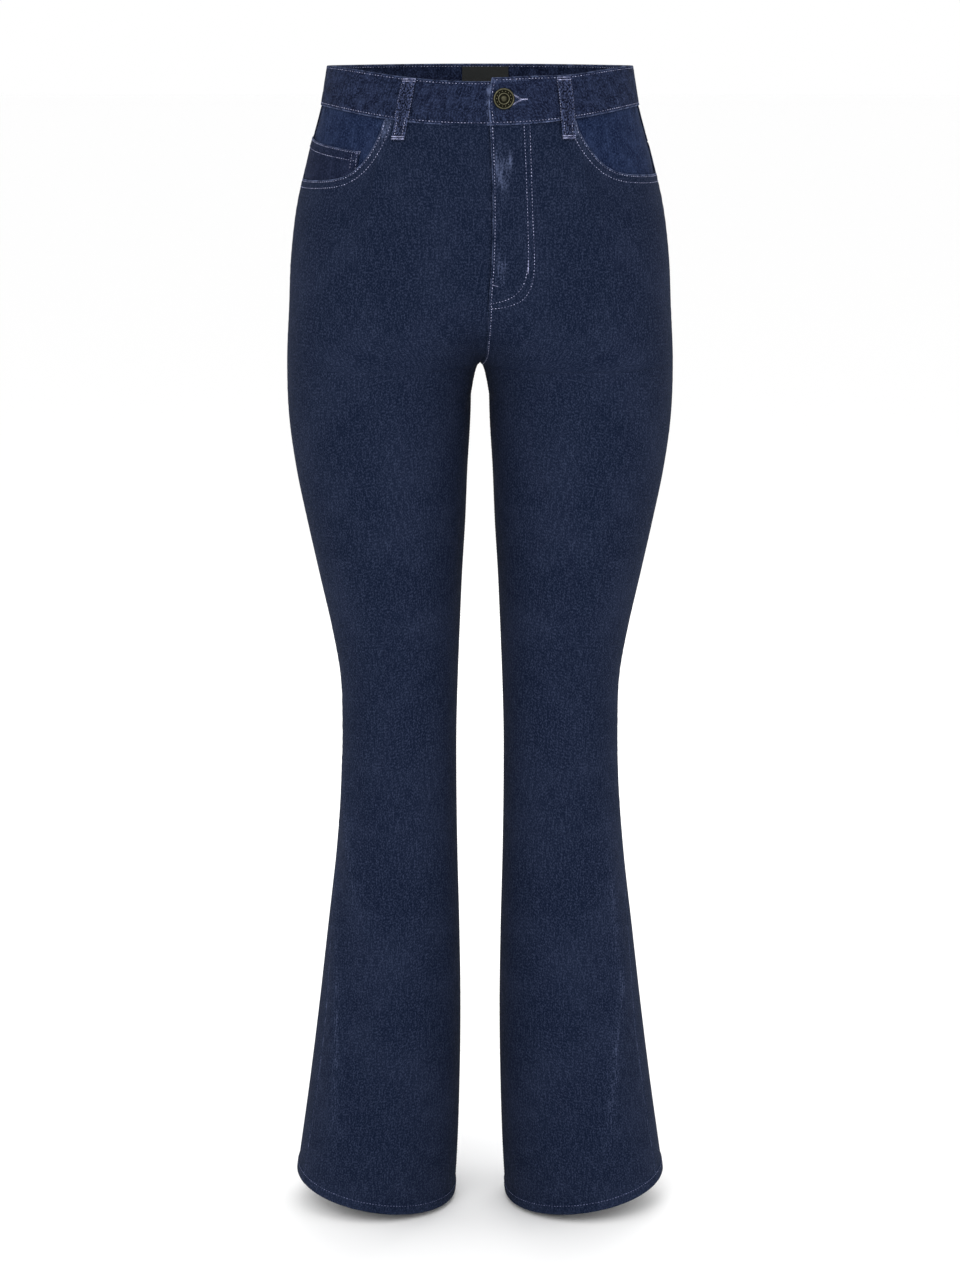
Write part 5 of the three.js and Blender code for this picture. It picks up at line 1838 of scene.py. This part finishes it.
@dataclass
class Button:
    """A jeans button of old brass: a rimmed disc with plain rings and a ring of studs."""

    segments: int = 72
    studs: int = 14
    stud_ring: float = 6.55
    stud_radius: float = 0.88
    face: float = 4.5
    shank: float = 3.0
    centre: float = 3.0
    rim: float = 7.9
    rubbed_centre: float = 0.62
    rubbed_rim: float = 0.84
    profile: tuple[tuple[float, float], ...] = (
        (3.3, 0.0), (3.3, 2.7), (8.9, 2.9), (9.45, 3.2), (9.6, 3.8), (9.5, 4.5), (9.1, 5.05), (8.5, 5.25),
        (8.0, 5.1), (7.75, 4.7), (7.5, 4.5), (5.6, 4.5), (5.35, 4.7), (5.1, 5.1), (4.75, 5.25), (4.4, 5.1),
        (4.15, 4.7), (3.9, 4.55), (3.3, 4.6), (2.9, 4.85), (2.2, 5.1), (1.2, 5.22), (0.0, 5.25),
    )

    def dress(self, band: Waistband, finishes: Finishes) -> bpy.types.Object:
        """Builds the button on the waistband.

        Args:
            band: The waistband that it fastens.
            finishes: The materials.

        Returns:
            The button.
        """
        bm = bmesh.new()
        rubbed = bm.verts.layers.float.new("wear")
        chain = [bm.verts.new((radius, 0.0, height)) for radius, height in self.profile]
        edges = [bm.edges.new(pair) for pair in zip(chain[:-1], chain[1:])]
        bmesh.ops.spin(
            bm, geom=[*chain, *edges], cent=(0, 0, 0), axis=(0, 0, 1), angle=2 * math.pi, steps=self.segments,
            use_merge=True,
        )
        bmesh.ops.remove_doubles(bm, verts=bm.verts, dist=1e-4)
        holes = [edge for edge in bm.edges if edge.is_boundary]
        bmesh.ops.holes_fill(bm, edges=holes, sides=self.segments)
        bmesh.ops.recalc_face_normals(bm, faces=bm.faces)
        for k in range(self.studs):
            turn = 2 * math.pi * k / self.studs
            spot = Vector((self.stud_ring * math.cos(turn), self.stud_ring * math.sin(turn), self.face))
            place = Matrix.Translation(spot)
            bmesh.ops.create_icosphere(bm, subdivisions=1, radius=self.stud_radius, matrix=place)
        for vert in bm.verts:
            high = float(ease(vert.co.z - self.face)) if vert.co.z > self.shank else 0.2
            reach = math.hypot(vert.co.x, vert.co.y)
            outer = self.rubbed_rim if reach > self.rim else 1.0
            vert[rubbed] = high * (self.rubbed_centre if reach < self.centre else outer)
        for face in bm.faces:
            face.smooth = True
        foot, outward = band.spot()
        turn = outward.to_track_quat("Z", "Y").to_matrix().to_4x4()
        place = Matrix.Diagonal((MM, MM, MM, 1.0)) @ Matrix.Translation(foot) @ turn
        bmesh.ops.transform(bm, matrix=place, verts=bm.verts)
        piece = link_mesh("button_brass", bm)
        settle(piece, finishes.brass, "old_brass", "button")
        return piece


@dataclass
class Studio:
    """A pale floor, soft lights and the camera at the photograph's angle."""

    floor_gap: float = 0.004
    floor_radius: float = 60.0
    floor_colour: Colour = (254, 254, 254)
    camera_drop: float = math.radians(11.0)
    camera_distance: float = 2.945
    aim: tuple[float, float, float] = (0.0, 0.0, -0.5153)
    lens: float = 87.19
    sensor: float = 36.0
    lights: tuple[tuple[str, tuple[float, float, float], float, float], ...] = (
        ("key", (-1.0, -2.8, 1.3), 1.8, 34.0),
        ("fill", (1.9, -2.2, 0.4), 2.4, 14.0),
        ("back", (0.4, 2.6, 1.4), 2.4, 34.0),
        ("right", (2.9, 0.5, 0.3), 1.8, 7.0),
        ("left", (-2.9, 0.5, 0.3), 1.8, 7.0),
    )

    def floor(self, lowest: float) -> None:
        """Lays the floor just under the hems."""
        bm = bmesh.new()
        bmesh.ops.create_circle(bm, cap_ends=True, radius=self.floor_radius, segments=96)
        bmesh.ops.translate(bm, vec=(0, 0, lowest - self.floor_gap), verts=bm.verts)
        piece = link_mesh("floor", bm)
        shade = Shade("pale_floor")
        piece.data.materials.append(shade.finish({"Base Color": linear(self.floor_colour), "Roughness": 0.9}))

    def light(self) -> None:
        """Hangs the lights and sets the world's even white."""
        for name, place, size, power in self.lights:
            lamp = bpy.data.lights.new(name, "AREA")
            lamp.shape = "SQUARE"
            lamp.size = size
            lamp.energy = power
            holder = link(name, lamp)
            holder.location = place
            holder.rotation_euler = (Vector(self.aim) - Vector(place)).to_track_quat("-Z", "Y").to_euler()
        world = bpy.data.worlds.new("white")
        world.use_nodes = True
        background = world.node_tree.nodes["Background"]
        background.inputs["Color"].default_value = (1.0, 1.0, 1.0, 1.0)
        background.inputs["Strength"].default_value = 1.0
        bpy.context.scene.world = world
        bpy.context.scene.view_settings.view_transform = "Standard"

    def camera(self) -> None:
        """Sets the camera at the photograph's angle and distance."""
        drop = Vector((0, -math.cos(self.camera_drop), math.sin(self.camera_drop)))
        lens = bpy.data.cameras.new("camera")
        lens.lens = self.lens
        lens.sensor_width = self.sensor
        holder = link("camera", lens)
        holder.location = Vector(self.aim) + drop * self.camera_distance
        holder.rotation_euler = (-drop).to_track_quat("-Z", "Y").to_euler()
        bpy.context.scene.camera = holder


def main() -> None:
    """Builds the jeans, the studio and the report of their sizes."""
    logging.basicConfig(level=logging.INFO, format="%(message)s")
    finishes = Finishes()
    pale, navy = Sewing("pale_sewing"), Sewing("navy_sewing")
    band = Waistband()
    cloth = [
        *LegPanels().dress(finishes, pale, navy),
        *Yokes().dress(finishes, pale),
        *HipPockets().dress(finishes, pale),
        *BackPockets().dress(finishes, pale),
        *band.dress(finishes, pale),
        *BeltLoops().dress(band, finishes, pale),
    ]
    Button().dress(band, finishes)
    pale.build(finishes.thread)
    navy.build(finishes.dark_thread)
    LOG.info("%d pieces of cloth", len(cloth))
    studio = Studio()
    studio.floor(CAD_BOX[0][2])
    studio.light()
    studio.camera()


if __name__ == "__main__":
    main()
